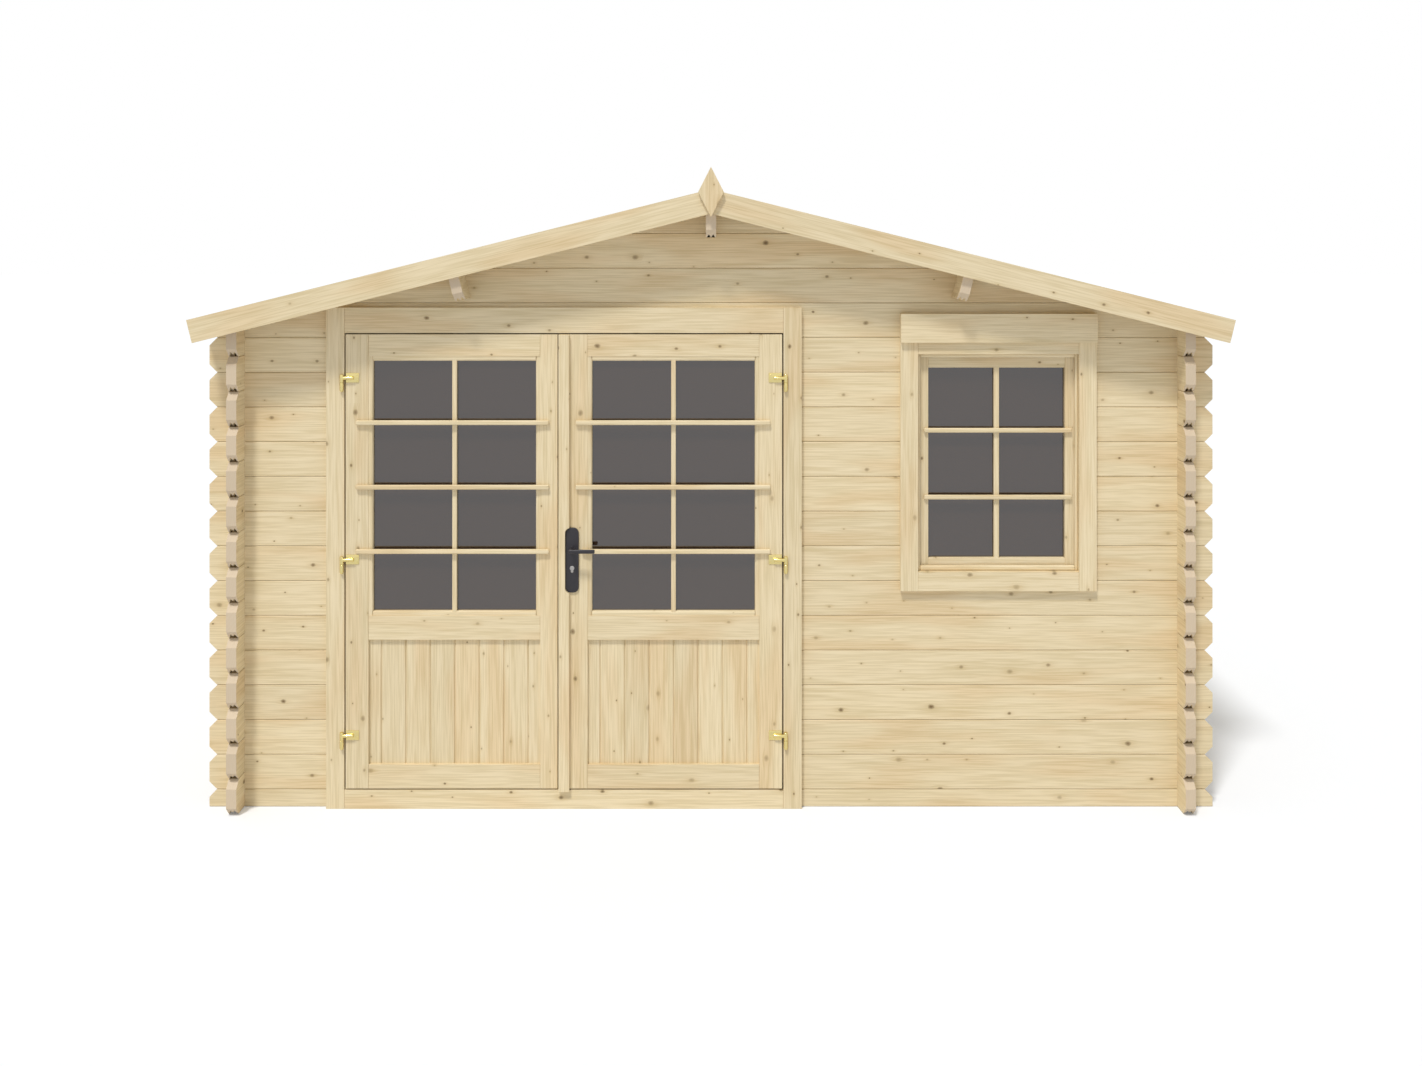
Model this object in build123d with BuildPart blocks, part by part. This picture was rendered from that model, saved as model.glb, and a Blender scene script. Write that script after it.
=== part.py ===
from build123d import *
import os
from math import cos, radians, sin, tan

# Log cabin with a low gable roof, half glazed double doors and one fixed window.
# Millimetres. X runs left to right along the front, Y from front to back, Z up.
# The origin lies on the ground, under the middle of the cabin.

os.makedirs("parts", exist_ok=True)

# Logs
LOG_THICK = 40.0
PITCH = 138.0
HALF_LOG = PITCH / 2
LOG_REACH = 100.0
END_CUT = 31.0
SEAM_CHAMFER = 3.0
TONGUE_HEIGHT = 18.0
TONGUE_VALLEY = 7.0
GROOVE_DEPTH = 20.0
GROOVE_VALLEY = 9.0

# Walls, measured to the middle of the logs
WALL_X = 1872.0
WALL_Y = 1375.0
TIP_X = WALL_X + LOG_THICK / 2 + LOG_REACH
TIP_Y = WALL_Y + LOG_THICK / 2 + LOG_REACH
SIDE_COURSES = 14
EAVE_COURSES = 14
GABLE_COURSES = 18
WINDOW_FIRST_COURSE = 7
WINDOW_LAST_COURSE = 13
FACE = -WALL_Y - LOG_THICK / 2
INSIDE = -WALL_Y + LOG_THICK / 2

# Roof
ROOF_ANGLE = 14.0
SLOPE = tan(radians(ROOF_ANGLE))
DOWN = cos(radians(ROOF_ANGLE))
OUT = sin(radians(ROOF_ANGLE))
RIDGE_UNDERSIDE = 2414.0
ROOF_BOARD = 18.0
OVERHANG = 140.0
ROOF_END = WALL_Y + LOG_THICK / 2 + OVERHANG
FASCIA_THICK = 20.0
FASCIA_DEPTH = 92.0
FASCIA_TOP = 2448.0
FASCIA_TIP_X = 2026.0
EAVE_SETBACK = 10.0
PURLIN_DEPTH = 150.0
PURLIN_CUT = 30.0
PURLIN_GROOVE = 12.0
PURLIN_X = 975.0
RIDGE_PURLIN_FOOT = 2261.0
FINIAL_WIDTH = 99.0
FINIAL_HEIGHT = 194.0
FINIAL_THICK = 18.0
FINIAL_MIDDLE = 2437.0

# Casings stand proud of both wall faces, and their webs line the openings
PROUD = 22.0
CASING_FRONT = FACE - PROUD
CASING_BACK = INSIDE + PROUD

# Doorway, measured between the inner faces of the frame
DOOR_LEFT = -1451.0
DOOR_RIGHT = 287.0
DOOR_MIDDLE = (DOOR_LEFT + DOOR_RIGHT) / 2
DOOR_CASING = 72.0
DOOR_WEB = 37.0
SILL_TOP = 75.0
HEAD_FOOT = 1882.5
HEAD_TOP = 1983.0
HEAD_WEB_TOP = 1935.0
STOP_REACH = 15.0
GAP = 5.5

# Door leaves
LEAF_THICK = 44.0
LEAF_FRONT = CASING_FRONT
LEAF_BACK = LEAF_FRONT + LEAF_THICK
LEAF_FOOT = SILL_TOP + GAP
LEAF_TOP = HEAD_FOOT - GAP
HINGE_STILE = 90.0
LIGHT_WIDTH = 680.0
LEFT_LEAF_EDGE = -607.2
RIGHT_LEAF_EDGE = -602.0
EDGE_BEVEL = 2.5
JOINT_CHAMFER = 2.0
BOTTOM_RAIL_TOP = 175.0
MID_RAIL_FOOT = 669.0
MID_RAIL_TOP = 764.0
TOP_RAIL_FOOT = 1790.0
PANEL_THICK = 20.0
PANEL_BOARD = 97.0
PANEL_GROOVE = 4.0
GLASS_THICK = 4.0
BEAD_WIDTH = 18.0
BEAD_SET_BACK = 2.0
BEAD_CHAMFER = 8.0
STRIP_WIDTH = 42.0
STRIP_THICK = 18.0
STRIP_FOOT = 72.0

# Lever handle and lock
HANDLE_X = -549.0
LEVER_Z = 1030.0
KEY_Z = 954.0
PLATE_WIDTH = 52.0
PLATE_HEIGHT = 256.0
PLATE_MIDDLE_Z = 985.0
PLATE_THICK = 8.0
NECK_R = 9.0
NECK_LENGTH = 42.0
LEVER_HEIGHT = 19.0
LEVER_DEPTH = 13.0
LEVER_LENGTH = 93.0
SPINDLE_R = 5.0
SPINDLE_BORE_R = 6.0
RUNNING_GAP = 0.3
CYLINDER_R = 8.5
CYLINDER_PROUD = 4.0

# Hinges, their heights measured to the middle of the arm
HINGE_HEIGHTS = (291.0, 986.0, 1705.0)
PIN_OUT = 14.0
PIN_FORWARD = 8.0
BARREL_R = 7.5
BARREL_TOP = 14.0
BARREL_SPLIT = -18.0
BARREL_FOOT = -54.0
PIN_R = 3.0
PIN_SIDES = 6
PIN_LENGTH = 20.0
HINGE_ARM_R = 6.5
HINGE_ARM_LENGTH = 40.5
HINGE_PLATE_START = 15.5
HINGE_PLATE_WIDTH = 48.0
HINGE_PLATE_HEIGHT = 34.0
HINGE_PLATE_THICK = 3.0

# Window, fixed in its frame
WINDOW_LEFT = 819.0
WINDOW_RIGHT = 1457.0
WINDOW_MIDDLE = (WINDOW_LEFT + WINDOW_RIGHT) / 2
WINDOW_CASING = 69.0
WINDOW_WEB = 24.0
WINDOW_FOOT = 861.0
WINDOW_SILL = 937.0
WINDOW_HEAD = 1799.0
HEAD_BOARD_FOOT = 1846.0
HEAD_BOARD_TOP = 1959.0
HEAD_BOARD_OUT = 40.0
SASH_FRONT = FACE + 10.0
SASH_THICK = 40.0
SASH_STILE = 47.0
SASH_TOP_RAIL = 57.0
WINDOW_GLASS_FRONT = FACE + 37.0
SILL_BEAD = 21.0
HEAD_BEAD = 15.0
SIDE_BEAD = 11.0

# Floor
BEARER_HEIGHT = 44.0
BEARER_WIDTH = 58.0
BEARER_COUNT = 6
FLOOR_BOARD = 18.0
FLOOR_GAP = 5.0

# Small round pieces have this many sides
ROUND_SIDES = 8
SQUARE = 4
PLATE_CLEARANCE = 1.0

# Larger than the cabin, for cuts that go right through
FAR = 3000.0


def front_course(number):
    """Foot and top of one log of the front or back wall, which start with a half log."""
    if number == 0:
        return 0.0, HALF_LOG
    foot = HALF_LOG + PITCH * (number - 1)
    return foot, foot + PITCH


def side_course(number):
    """Foot and top of one log of a side wall, the last one tall enough to reach the roof."""
    foot = PITCH * number
    if number == SIDE_COURSES - 1:
        return foot, roof_underside(WALL_X - LOG_THICK / 2)
    return foot, foot + PITCH


def roof_underside(x):
    """Height of the underside of the roof boards at a distance x from the ridge."""
    return RIDGE_UNDERSIDE - SLOPE * abs(x)


def log_section(middle, foot, top, grooves=True, tongues=True):
    """End view of one log: two tongues on top fit two grooves below, and the seams are chamfered."""
    half = LOG_THICK / 2
    shoulder = half - SEAM_CHAMFER
    ridge = shoulder / 2
    below = [
        (middle - half, foot + SEAM_CHAMFER),
        (middle - shoulder, foot),
        (middle - ridge, foot + GROOVE_DEPTH),
        (middle, foot + GROOVE_VALLEY),
        (middle + ridge, foot + GROOVE_DEPTH),
        (middle + shoulder, foot),
        (middle + half, foot + SEAM_CHAMFER),
    ]
    above = [
        (middle + half, top - SEAM_CHAMFER),
        (middle + shoulder, top),
        (middle + ridge, top + TONGUE_HEIGHT),
        (middle, top + TONGUE_VALLEY),
        (middle - ridge, top + TONGUE_HEIGHT),
        (middle - shoulder, top),
        (middle - half, top - SEAM_CHAMFER),
    ]
    if not grooves:
        below = below[:2] + below[-2:]
    if not tongues:
        above = above[:2] + above[-2:]
    Polygon(*below, *above, align=None)


def log_elevation(tip, wall, foot, top, foot_cut=END_CUT):
    """Side view of one log, its ends cut at 45 degrees and its tongues only between the corners."""
    Polygon(
        (-tip + foot_cut, foot),
        (-tip, foot + foot_cut),
        (-tip, top - END_CUT),
        (-tip + END_CUT, top),
        (-wall, top),
        (-wall, top + TONGUE_HEIGHT),
        (wall, top + TONGUE_HEIGHT),
        (wall, top),
        (tip - END_CUT, top),
        (tip, top - END_CUT),
        (tip, foot + foot_cut),
        (tip - foot_cut, foot),
        align=None,
    )


def corner_notches(wall, seams, middle_z):
    """Cross laps: at each corner, a quarter of each log is cut away above and below."""
    with Locations((0, middle_z)):
        with GridLocations(2 * wall, PITCH, 2, seams):
            Rectangle(LOG_THICK, PITCH / 2, mode=Mode.SUBTRACT)


def under_roof():
    """Keeps what lies below the roof boards, seen from the front."""
    Polygon(
        (-FAR, -FAR),
        (FAR, -FAR),
        (FAR, roof_underside(FAR)),
        (0, RIDGE_UNDERSIDE),
        (-FAR, roof_underside(FAR)),
        align=None,
        mode=Mode.INTERSECT,
    )


def opening(left, right, foot, top, mode=Mode.SUBTRACT):
    """A rectangle given by its edges, cut out of the sketch unless told otherwise."""
    with Locations(((left + right) / 2, (foot + top) / 2)):
        Rectangle(right - left, top - foot, mode=mode)


def purlin_outline(side):
    """Front view of a purlin: side -1 or 1 leans with its slope, and 0 stands at the ridge."""
    half = LOG_THICK / 2
    if side == 0:
        return [
            (-half, RIDGE_PURLIN_FOOT),
            (half, RIDGE_PURLIN_FOOT),
            (half, roof_underside(half)),
            (0, RIDGE_UNDERSIDE),
            (-half, roof_underside(half)),
        ]
    foot_z = roof_underside(PURLIN_X) - PURLIN_DEPTH / DOWN
    corners = [
        (PURLIN_X - half * DOWN, foot_z + half * OUT),
        (PURLIN_X + half * DOWN, foot_z - half * OUT),
        (PURLIN_X + half * DOWN + PURLIN_DEPTH * OUT, foot_z - half * OUT + PURLIN_DEPTH * DOWN),
        (PURLIN_X - half * DOWN + PURLIN_DEPTH * OUT, foot_z + half * OUT + PURLIN_DEPTH * DOWN),
    ]
    return [(side * x, z) for x, z in corners]


def logs_along_front(courses, wall_y, left=-FAR, right=FAR, cuts=(), tongued=True):
    """Logs of the front or back wall between left and right, less the cuts given."""
    with BuildPart() as logs:
        with BuildSketch(Plane.YZ):
            for number in courses:
                log_section(wall_y, *front_course(number), tongued and number > 0, tongued)
        extrude(amount=TIP_X, both=True)
        with BuildSketch(Plane.XZ.offset(-wall_y)):
            for number in courses:
                log_elevation(TIP_X, WALL_X, *front_course(number), foot_cut=END_CUT if number else 0.0)
            corner_notches(WALL_X, EAVE_COURSES, PITCH * SIDE_COURSES / 2)
            opening(left, right, -FAR, FAR, mode=Mode.INTERSECT)
            for cut in cuts:
                opening(*cut)
            for side in (-1, 0, 1):
                Polygon(*purlin_outline(side), align=None, mode=Mode.SUBTRACT)
            under_roof()
        extrude(amount=LOG_THICK, both=True, mode=Mode.INTERSECT)
    return logs.part


def logs_along_side(courses, wall_x):
    """Logs of one side wall, the top one bevelled to lie under the roof boards."""
    with BuildPart() as logs:
        with BuildSketch(Plane.XZ):
            for number in courses:
                log_section(wall_x, *side_course(number))
            under_roof()
        extrude(amount=TIP_Y, both=True)
        with BuildSketch(Plane.YZ.offset(wall_x)):
            for number in courses:
                log_elevation(TIP_Y, WALL_Y, *side_course(number))
            corner_notches(WALL_Y, SIDE_COURSES + 1, PITCH * SIDE_COURSES / 2)
        extrude(amount=LOG_THICK, both=True, mode=Mode.INTERSECT)
    return logs.part


def keep(piece, name):
    """Names a finished piece and writes it."""
    piece.label = name
    export_step(piece, f"parts/{name}.step")


# Walls. Every second log is in one file and the rest in the other, so that no two logs of a
# file touch. The back wall's seams are plain, because nothing shows their tongues.
rough_left = DOOR_LEFT - DOOR_WEB
rough_right = DOOR_RIGHT + DOOR_WEB
window_foot_log = front_course(WINDOW_FIRST_COURSE)[0]
window_head_log = front_course(WINDOW_LAST_COURSE)[1]
window_cut = (
    WINDOW_LEFT - WINDOW_WEB,
    WINDOW_RIGHT + WINDOW_WEB,
    window_foot_log,
    window_head_log + TONGUE_HEIGHT,
)
door_cut = (rough_left, rough_right, -FAR, HEAD_WEB_TOP)

for parity, order in enumerate(("even", "odd")):
    beside_door = range(parity, EAVE_COURSES, 2)
    keep(logs_along_front(beside_door, -WALL_Y, right=rough_left), f"front_wall_left_{order}_logs")
    keep(
        logs_along_front(beside_door, -WALL_Y, left=rough_right, cuts=[window_cut]),
        f"front_wall_right_{order}_logs",
    )
    back_courses = range(parity, GABLE_COURSES, 2)
    keep(logs_along_front(back_courses, WALL_Y, tongued=False), f"back_wall_{order}_logs")
    keep(logs_along_side(range(parity, SIDE_COURSES, 2), -WALL_X), f"left_wall_{order}_logs")
    keep(logs_along_side(range(parity, SIDE_COURSES, 2), WALL_X), f"right_wall_{order}_logs")

keep(logs_along_front([EAVE_COURSES], -WALL_Y, cuts=[door_cut]), "log_over_door")
gable_courses = range(EAVE_COURSES + 1, GABLE_COURSES)
keep(logs_along_front(gable_courses[0::2], -WALL_Y), "front_gable_odd_logs")
keep(logs_along_front(gable_courses[1::2], -WALL_Y), "front_gable_even_logs")

# Floor boards on bearers that lie on the ground
floor_half_x = WALL_X - LOG_THICK / 2 - FLOOR_GAP
floor_front = CASING_BACK + FLOOR_GAP
floor_back = WALL_Y - LOG_THICK / 2 - FLOOR_GAP
floor_middle = (floor_front + floor_back) / 2
bearer_pitch = (2 * floor_half_x - BEARER_WIDTH) / (BEARER_COUNT - 1)

with BuildPart() as floor_bearers:
    with BuildSketch():
        with Locations((0, floor_middle)):
            with GridLocations(bearer_pitch, 1, BEARER_COUNT, 1):
                Rectangle(BEARER_WIDTH, floor_back - floor_front)
    extrude(amount=BEARER_HEIGHT)
keep(floor_bearers.part, "floor_bearers")

with BuildPart() as floor_boards:
    with BuildSketch(Plane.XY.offset(BEARER_HEIGHT)):
        with Locations((0, floor_middle)):
            Rectangle(2 * floor_half_x, floor_back - floor_front)
    extrude(amount=FLOOR_BOARD)
keep(floor_boards.part, "floor_boards")


def purlin(side):
    """One purlin, from fascia to fascia, with two grooves below and its lower ends cut off."""
    half = LOG_THICK / 2
    ridge = (half - SEAM_CHAMFER) / 2
    lean = -side * radians(ROOF_ANGLE)
    foot_x = side * PURLIN_X
    foot_z = roof_underside(PURLIN_X) - PURLIN_DEPTH / DOWN if side else RIDGE_PURLIN_FOOT
    across = Vector(cos(lean), 0, sin(lean))
    upright = Plane(origin=(foot_x, 0, foot_z), x_dir=across, z_dir=(0, -1, 0))
    along = Plane(origin=(foot_x, 0, foot_z), x_dir=(0, 1, 0), z_dir=across)
    depth = PURLIN_DEPTH + LOG_THICK
    with BuildPart() as beam:
        with BuildSketch(Plane.XZ):
            Polygon(*purlin_outline(side), align=None)
        extrude(amount=ROOF_END, both=True)
        with BuildSketch(upright):
            for place in (-ridge, ridge):
                Polygon((place - ridge, 0), (place + ridge, 0), (place, PURLIN_GROOVE), align=None)
        extrude(amount=ROOF_END, both=True, mode=Mode.SUBTRACT)
        with BuildSketch(along):
            Polygon(
                (-ROOF_END + PURLIN_CUT, 0),
                (ROOF_END - PURLIN_CUT, 0),
                (ROOF_END, PURLIN_CUT),
                (ROOF_END, depth),
                (-ROOF_END, depth),
                (-ROOF_END, PURLIN_CUT),
                align=None,
            )
        extrude(amount=half, both=True, mode=Mode.INTERSECT)
    return beam.part


keep(purlin(0), "ridge_purlin")
keep(Compound(children=[purlin(-1), purlin(1)]), "side_purlins")


def slope_point(side, down_slope, above):
    """A point of one slope: its distance from the ridge along the slope, and above its underside."""
    x = down_slope * DOWN + above * OUT
    z = RIDGE_UNDERSIDE - down_slope * OUT + above * DOWN
    return side * x, z


fascia_over = (FASCIA_TOP - RIDGE_UNDERSIDE) * DOWN
fascia_tip = (FASCIA_TIP_X - fascia_over * OUT) / DOWN
for side, name in ((-1, "left"), (1, "right")):
    with BuildPart() as roof_boards:
        with BuildSketch(Plane.XZ):
            eave = fascia_tip - EAVE_SETBACK
            Polygon(
                (0, RIDGE_UNDERSIDE),
                slope_point(side, eave, 0),
                slope_point(side, eave, ROOF_BOARD),
                (0, RIDGE_UNDERSIDE + ROOF_BOARD / DOWN),
                align=None,
            )
        extrude(amount=ROOF_END, both=True)
    keep(roof_boards.part, f"{name}_roof_boards")

    with BuildPart() as fascias:
        for end in (-1, 1):
            with BuildSketch(Plane.XZ.offset(end * (ROOF_END + FASCIA_THICK / 2))):
                Polygon(
                    (0, FASCIA_TOP),
                    slope_point(side, fascia_tip, fascia_over),
                    slope_point(side, fascia_tip, fascia_over - FASCIA_DEPTH),
                    (0, FASCIA_TOP - FASCIA_DEPTH / DOWN),
                    align=None,
                )
            extrude(amount=FASCIA_THICK / 2, both=True)
    keep(fascias.part, f"{name}_fascias")

with BuildPart() as finials:
    for end in (-1, 1):
        finial_middle = ROOF_END + FASCIA_THICK + FINIAL_THICK / 2
        with BuildSketch(Plane.XZ.offset(end * finial_middle)):
            Polygon(
                (0, FINIAL_MIDDLE + FINIAL_HEIGHT / 2),
                (FINIAL_WIDTH / 2, FINIAL_MIDDLE),
                (0, FINIAL_MIDDLE - FINIAL_HEIGHT / 2),
                (-FINIAL_WIDTH / 2, FINIAL_MIDDLE),
                align=None,
            )
        extrude(amount=FINIAL_THICK / 2, both=True)
keep(finials.part, "finials")

# Door frame: jambs of U section hug the log ends, and stops close the gap behind the leaves
stop_front = LEAF_BACK + GAP

with BuildPart() as door_jambs:
    for inner, outward in ((DOOR_LEFT, -1), (DOOR_RIGHT, 1)):
        web = inner + outward * DOOR_WEB
        outer = inner + outward * DOOR_CASING
        with BuildSketch():
            opening(min(inner, outer), max(inner, outer), CASING_FRONT, FACE, Mode.ADD)
            opening(min(inner, outer), max(inner, outer), INSIDE, CASING_BACK, Mode.ADD)
        extrude(amount=HEAD_TOP)
        with BuildSketch():
            opening(min(inner, web), max(inner, web), FACE, INSIDE, Mode.ADD)
        extrude(amount=HEAD_WEB_TOP)
        with BuildSketch(Plane.XY.offset(SILL_TOP + STOP_REACH)):
            with Locations((inner - outward * STOP_REACH / 2, (stop_front + CASING_BACK) / 2)):
                Rectangle(STOP_REACH, CASING_BACK - stop_front)
        extrude(amount=HEAD_FOOT - SILL_TOP - 2 * STOP_REACH)
keep(door_jambs.part, "door_jambs")

door_width_half = (DOOR_RIGHT - DOOR_LEFT) / 2
with BuildPart() as door_head:
    with BuildSketch(Plane.YZ.offset(DOOR_MIDDLE)):
        Polygon(
            (CASING_FRONT, HEAD_FOOT),
            (stop_front, HEAD_FOOT),
            (stop_front, HEAD_FOOT - STOP_REACH),
            (CASING_BACK, HEAD_FOOT - STOP_REACH),
            (CASING_BACK, HEAD_TOP),
            (INSIDE, HEAD_TOP),
            (INSIDE, HEAD_WEB_TOP),
            (FACE, HEAD_WEB_TOP),
            (FACE, HEAD_TOP),
            (CASING_FRONT, HEAD_TOP),
            align=None,
        )
    extrude(amount=door_width_half, both=True)
    head_face = door_head.faces().sort_by(Axis.Y)[0]
    chamfer(head_face.edges().filter_by(Axis.Z), length=JOINT_CHAMFER)
keep(door_head.part, "door_head")

with BuildPart() as door_threshold:
    with BuildSketch(Plane.YZ.offset(DOOR_MIDDLE)):
        Polygon(
            (CASING_FRONT, 0),
            (CASING_BACK, 0),
            (CASING_BACK, SILL_TOP + STOP_REACH),
            (stop_front, SILL_TOP + STOP_REACH),
            (stop_front, SILL_TOP),
            (CASING_FRONT, SILL_TOP),
            align=None,
        )
    extrude(amount=door_width_half, both=True)
    threshold_face = door_threshold.faces().sort_by(Axis.Y)[0]
    chamfer(threshold_face.edges().filter_by(Axis.Z), length=JOINT_CHAMFER)
keep(door_threshold.part, "door_threshold")


def door_leaf(name, hinge_edge, lock_edge, inward):
    """Stiles, rails, boarded panel, glass and glazing beads of one leaf.

    inward is 1 when the leaf runs to the right of its hinges, and -1 when it runs to the left.
    """
    light_near = hinge_edge + inward * HINGE_STILE
    light_far = light_near + inward * LIGHT_WIDTH
    light_middle = (light_near + light_far) / 2
    leaf_middle_y = (LEAF_FRONT + LEAF_BACK) / 2

    with BuildPart() as stiles:
        with BuildSketch(Plane.XY.offset(LEAF_FOOT)):
            opening(min(hinge_edge, light_near), max(hinge_edge, light_near), LEAF_FRONT, LEAF_BACK, Mode.ADD)
            Polygon(
                (light_far, LEAF_FRONT),
                (lock_edge, LEAF_FRONT),
                (lock_edge - inward * EDGE_BEVEL, LEAF_BACK),
                (light_far, LEAF_BACK),
                align=None,
            )
        extrude(amount=LEAF_TOP - LEAF_FOOT)
        if inward < 0:
            with BuildSketch(Plane.XZ.offset(-leaf_middle_y)):
                with Locations((HANDLE_X, LEVER_Z)):
                    RegularPolygon(SPINDLE_BORE_R, SQUARE, major_radius=False)
                with Locations((HANDLE_X, KEY_Z)):
                    RegularPolygon(CYLINDER_R, ROUND_SIDES)
            extrude(amount=LEAF_THICK, both=True, mode=Mode.SUBTRACT)
    keep(stiles.part, f"{name}_door_stiles")

    with BuildPart() as rails:
        with BuildSketch(Plane.YZ.offset(light_middle)):
            opening(LEAF_FRONT, LEAF_BACK, LEAF_FOOT, BOTTOM_RAIL_TOP, Mode.ADD)
            opening(LEAF_FRONT, LEAF_BACK, MID_RAIL_FOOT, MID_RAIL_TOP, Mode.ADD)
            opening(LEAF_FRONT, LEAF_BACK, TOP_RAIL_FOOT, LEAF_TOP, Mode.ADD)
        extrude(amount=LIGHT_WIDTH / 2, both=True)
        chamfer(rails.edges().filter_by(Axis.Z), length=JOINT_CHAMFER)
    keep(rails.part, f"{name}_door_rails")

    with BuildPart() as panel:
        with BuildSketch(Plane.XY.offset(BOTTOM_RAIL_TOP)):
            with Locations((light_middle, leaf_middle_y)):
                Rectangle(LIGHT_WIDTH, PANEL_THICK)
                seams = int(LIGHT_WIDTH / PANEL_BOARD)
                with GridLocations(PANEL_BOARD, PANEL_THICK, seams, 2):
                    RegularPolygon(PANEL_GROOVE, SQUARE, mode=Mode.SUBTRACT)
        extrude(amount=MID_RAIL_FOOT - BOTTOM_RAIL_TOP)
    keep(panel.part, f"{name}_door_panel")

    light_height = TOP_RAIL_FOOT - MID_RAIL_TOP
    light_z = (TOP_RAIL_FOOT + MID_RAIL_TOP) / 2
    with BuildPart() as glass:
        with BuildSketch(Plane.XZ.offset(-leaf_middle_y)):
            with Locations((light_middle, light_z)):
                Rectangle(LIGHT_WIDTH, light_height)
        extrude(amount=GLASS_THICK / 2, both=True)
    keep(glass.part, f"{name}_door_glass")

    bead_depth = (LEAF_THICK - GLASS_THICK) / 2 - BEAD_SET_BACK
    with BuildPart() as beads:
        with BuildSketch(Plane.XZ.offset(-leaf_middle_y)):
            with Locations((light_middle, light_z)):
                Rectangle(LIGHT_WIDTH, light_height)
                Rectangle(LIGHT_WIDTH - 2 * BEAD_WIDTH, light_height - 2 * BEAD_WIDTH, mode=Mode.SUBTRACT)
        extrude(amount=GLASS_THICK / 2 + bead_depth, both=True)
        for outside in (Axis.Y, Axis((0, 0, 0), (0, -1, 0))):
            face = beads.faces().sort_by(outside)[-1]
            chamfer(face.inner_wires()[0].edges(), length=BEAD_CHAMFER)
        with Locations((light_middle, leaf_middle_y, light_z)):
            Box(LIGHT_WIDTH, GLASS_THICK, light_height, mode=Mode.SUBTRACT)
    keep(beads.part, f"{name}_door_beads")


left_hinge_edge = DOOR_LEFT + GAP
right_hinge_edge = DOOR_RIGHT - GAP
door_leaf("left", left_hinge_edge, LEFT_LEAF_EDGE, 1)
door_leaf("right", right_hinge_edge, RIGHT_LEAF_EDGE, -1)

# Cover strip down the meeting edge of the right leaf, cut back round the handle plate
with BuildPart() as cover_strip:
    with BuildSketch(Plane.XZ.offset(-LEAF_FRONT)):
        opening(RIGHT_LEAF_EDGE, RIGHT_LEAF_EDGE + STRIP_WIDTH, STRIP_FOOT, LEAF_TOP, Mode.ADD)
        with Locations((HANDLE_X, PLATE_MIDDLE_Z)):
            Rectangle(
                PLATE_WIDTH + 2 * PLATE_CLEARANCE,
                PLATE_HEIGHT + 2 * PLATE_CLEARANCE,
                mode=Mode.SUBTRACT,
            )
    extrude(amount=STRIP_THICK)
keep(cover_strip.part, "cover_strip")


# Long rounded plates on both faces, with holes for the lever's neck and the lock cylinder
with BuildPart() as handle_plates:
    for face_y, outward in ((LEAF_FRONT, 1), (LEAF_BACK, -1)):
        with BuildSketch(Plane.XZ.offset(-face_y)):
            with Locations((HANDLE_X, PLATE_MIDDLE_Z)):
                Rectangle(PLATE_WIDTH, PLATE_HEIGHT - PLATE_WIDTH)
                with GridLocations(1, PLATE_HEIGHT - PLATE_WIDTH, 1, 2):
                    RegularPolygon(PLATE_WIDTH / 2, ROUND_SIDES + 2, major_radius=False)
            with Locations((HANDLE_X, LEVER_Z)):
                RegularPolygon(NECK_R + RUNNING_GAP, ROUND_SIDES, major_radius=False, mode=Mode.SUBTRACT)
            with Locations((HANDLE_X, KEY_Z)):
                RegularPolygon(CYLINDER_R, ROUND_SIDES, mode=Mode.SUBTRACT)
        extrude(amount=outward * PLATE_THICK)
keep(handle_plates.part, "handle_plates")

lock_reach = LEAF_THICK / 2 + PLATE_THICK + CYLINDER_PROUD
leaf_middle_plane = Plane.XZ.offset(-(LEAF_FRONT + LEAF_BACK) / 2)
with BuildPart() as lock_cylinder:
    with BuildSketch(leaf_middle_plane):
        with Locations((HANDLE_X, KEY_Z)):
            RegularPolygon(CYLINDER_R, ROUND_SIDES)
    extrude(amount=lock_reach, both=True)
keep(lock_cylinder.part, "lock_cylinder")

# Lever on each side of the leaf, on one spindle
with BuildPart() as lever_handle:
    with BuildSketch(leaf_middle_plane):
        with Locations((HANDLE_X, LEVER_Z)):
            RegularPolygon(SPINDLE_R, SQUARE)
    extrude(amount=LEAF_THICK / 2, both=True)
    for face_y, outward in ((LEAF_FRONT, 1), (LEAF_BACK, -1)):
        with BuildSketch(Plane.XZ.offset(-face_y)):
            with Locations((HANDLE_X, LEVER_Z)):
                RegularPolygon(NECK_R, ROUND_SIDES)
        extrude(amount=outward * (PLATE_THICK + NECK_LENGTH))
        with BuildSketch(Plane.XZ.offset(-face_y + outward * (PLATE_THICK + NECK_LENGTH))):
            with Locations((HANDLE_X + (LEVER_LENGTH - LEVER_HEIGHT) / 2, LEVER_Z)):
                Rectangle(LEVER_LENGTH - LEVER_HEIGHT, LEVER_HEIGHT)
                with GridLocations(LEVER_LENGTH - LEVER_HEIGHT, 1, 2, 1):
                    RegularPolygon(LEVER_HEIGHT / 2, ROUND_SIDES + 2, major_radius=False)
        extrude(amount=outward * LEVER_DEPTH)
keep(lever_handle.part, "lever_handle")

# Hinges: the lower half of each barrel is on the jamb, and the upper half on the leaf
pin_y = LEAF_FRONT - PIN_FORWARD
left_pin_x = left_hinge_edge - PIN_OUT
right_pin_x = right_hinge_edge + PIN_OUT

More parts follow.
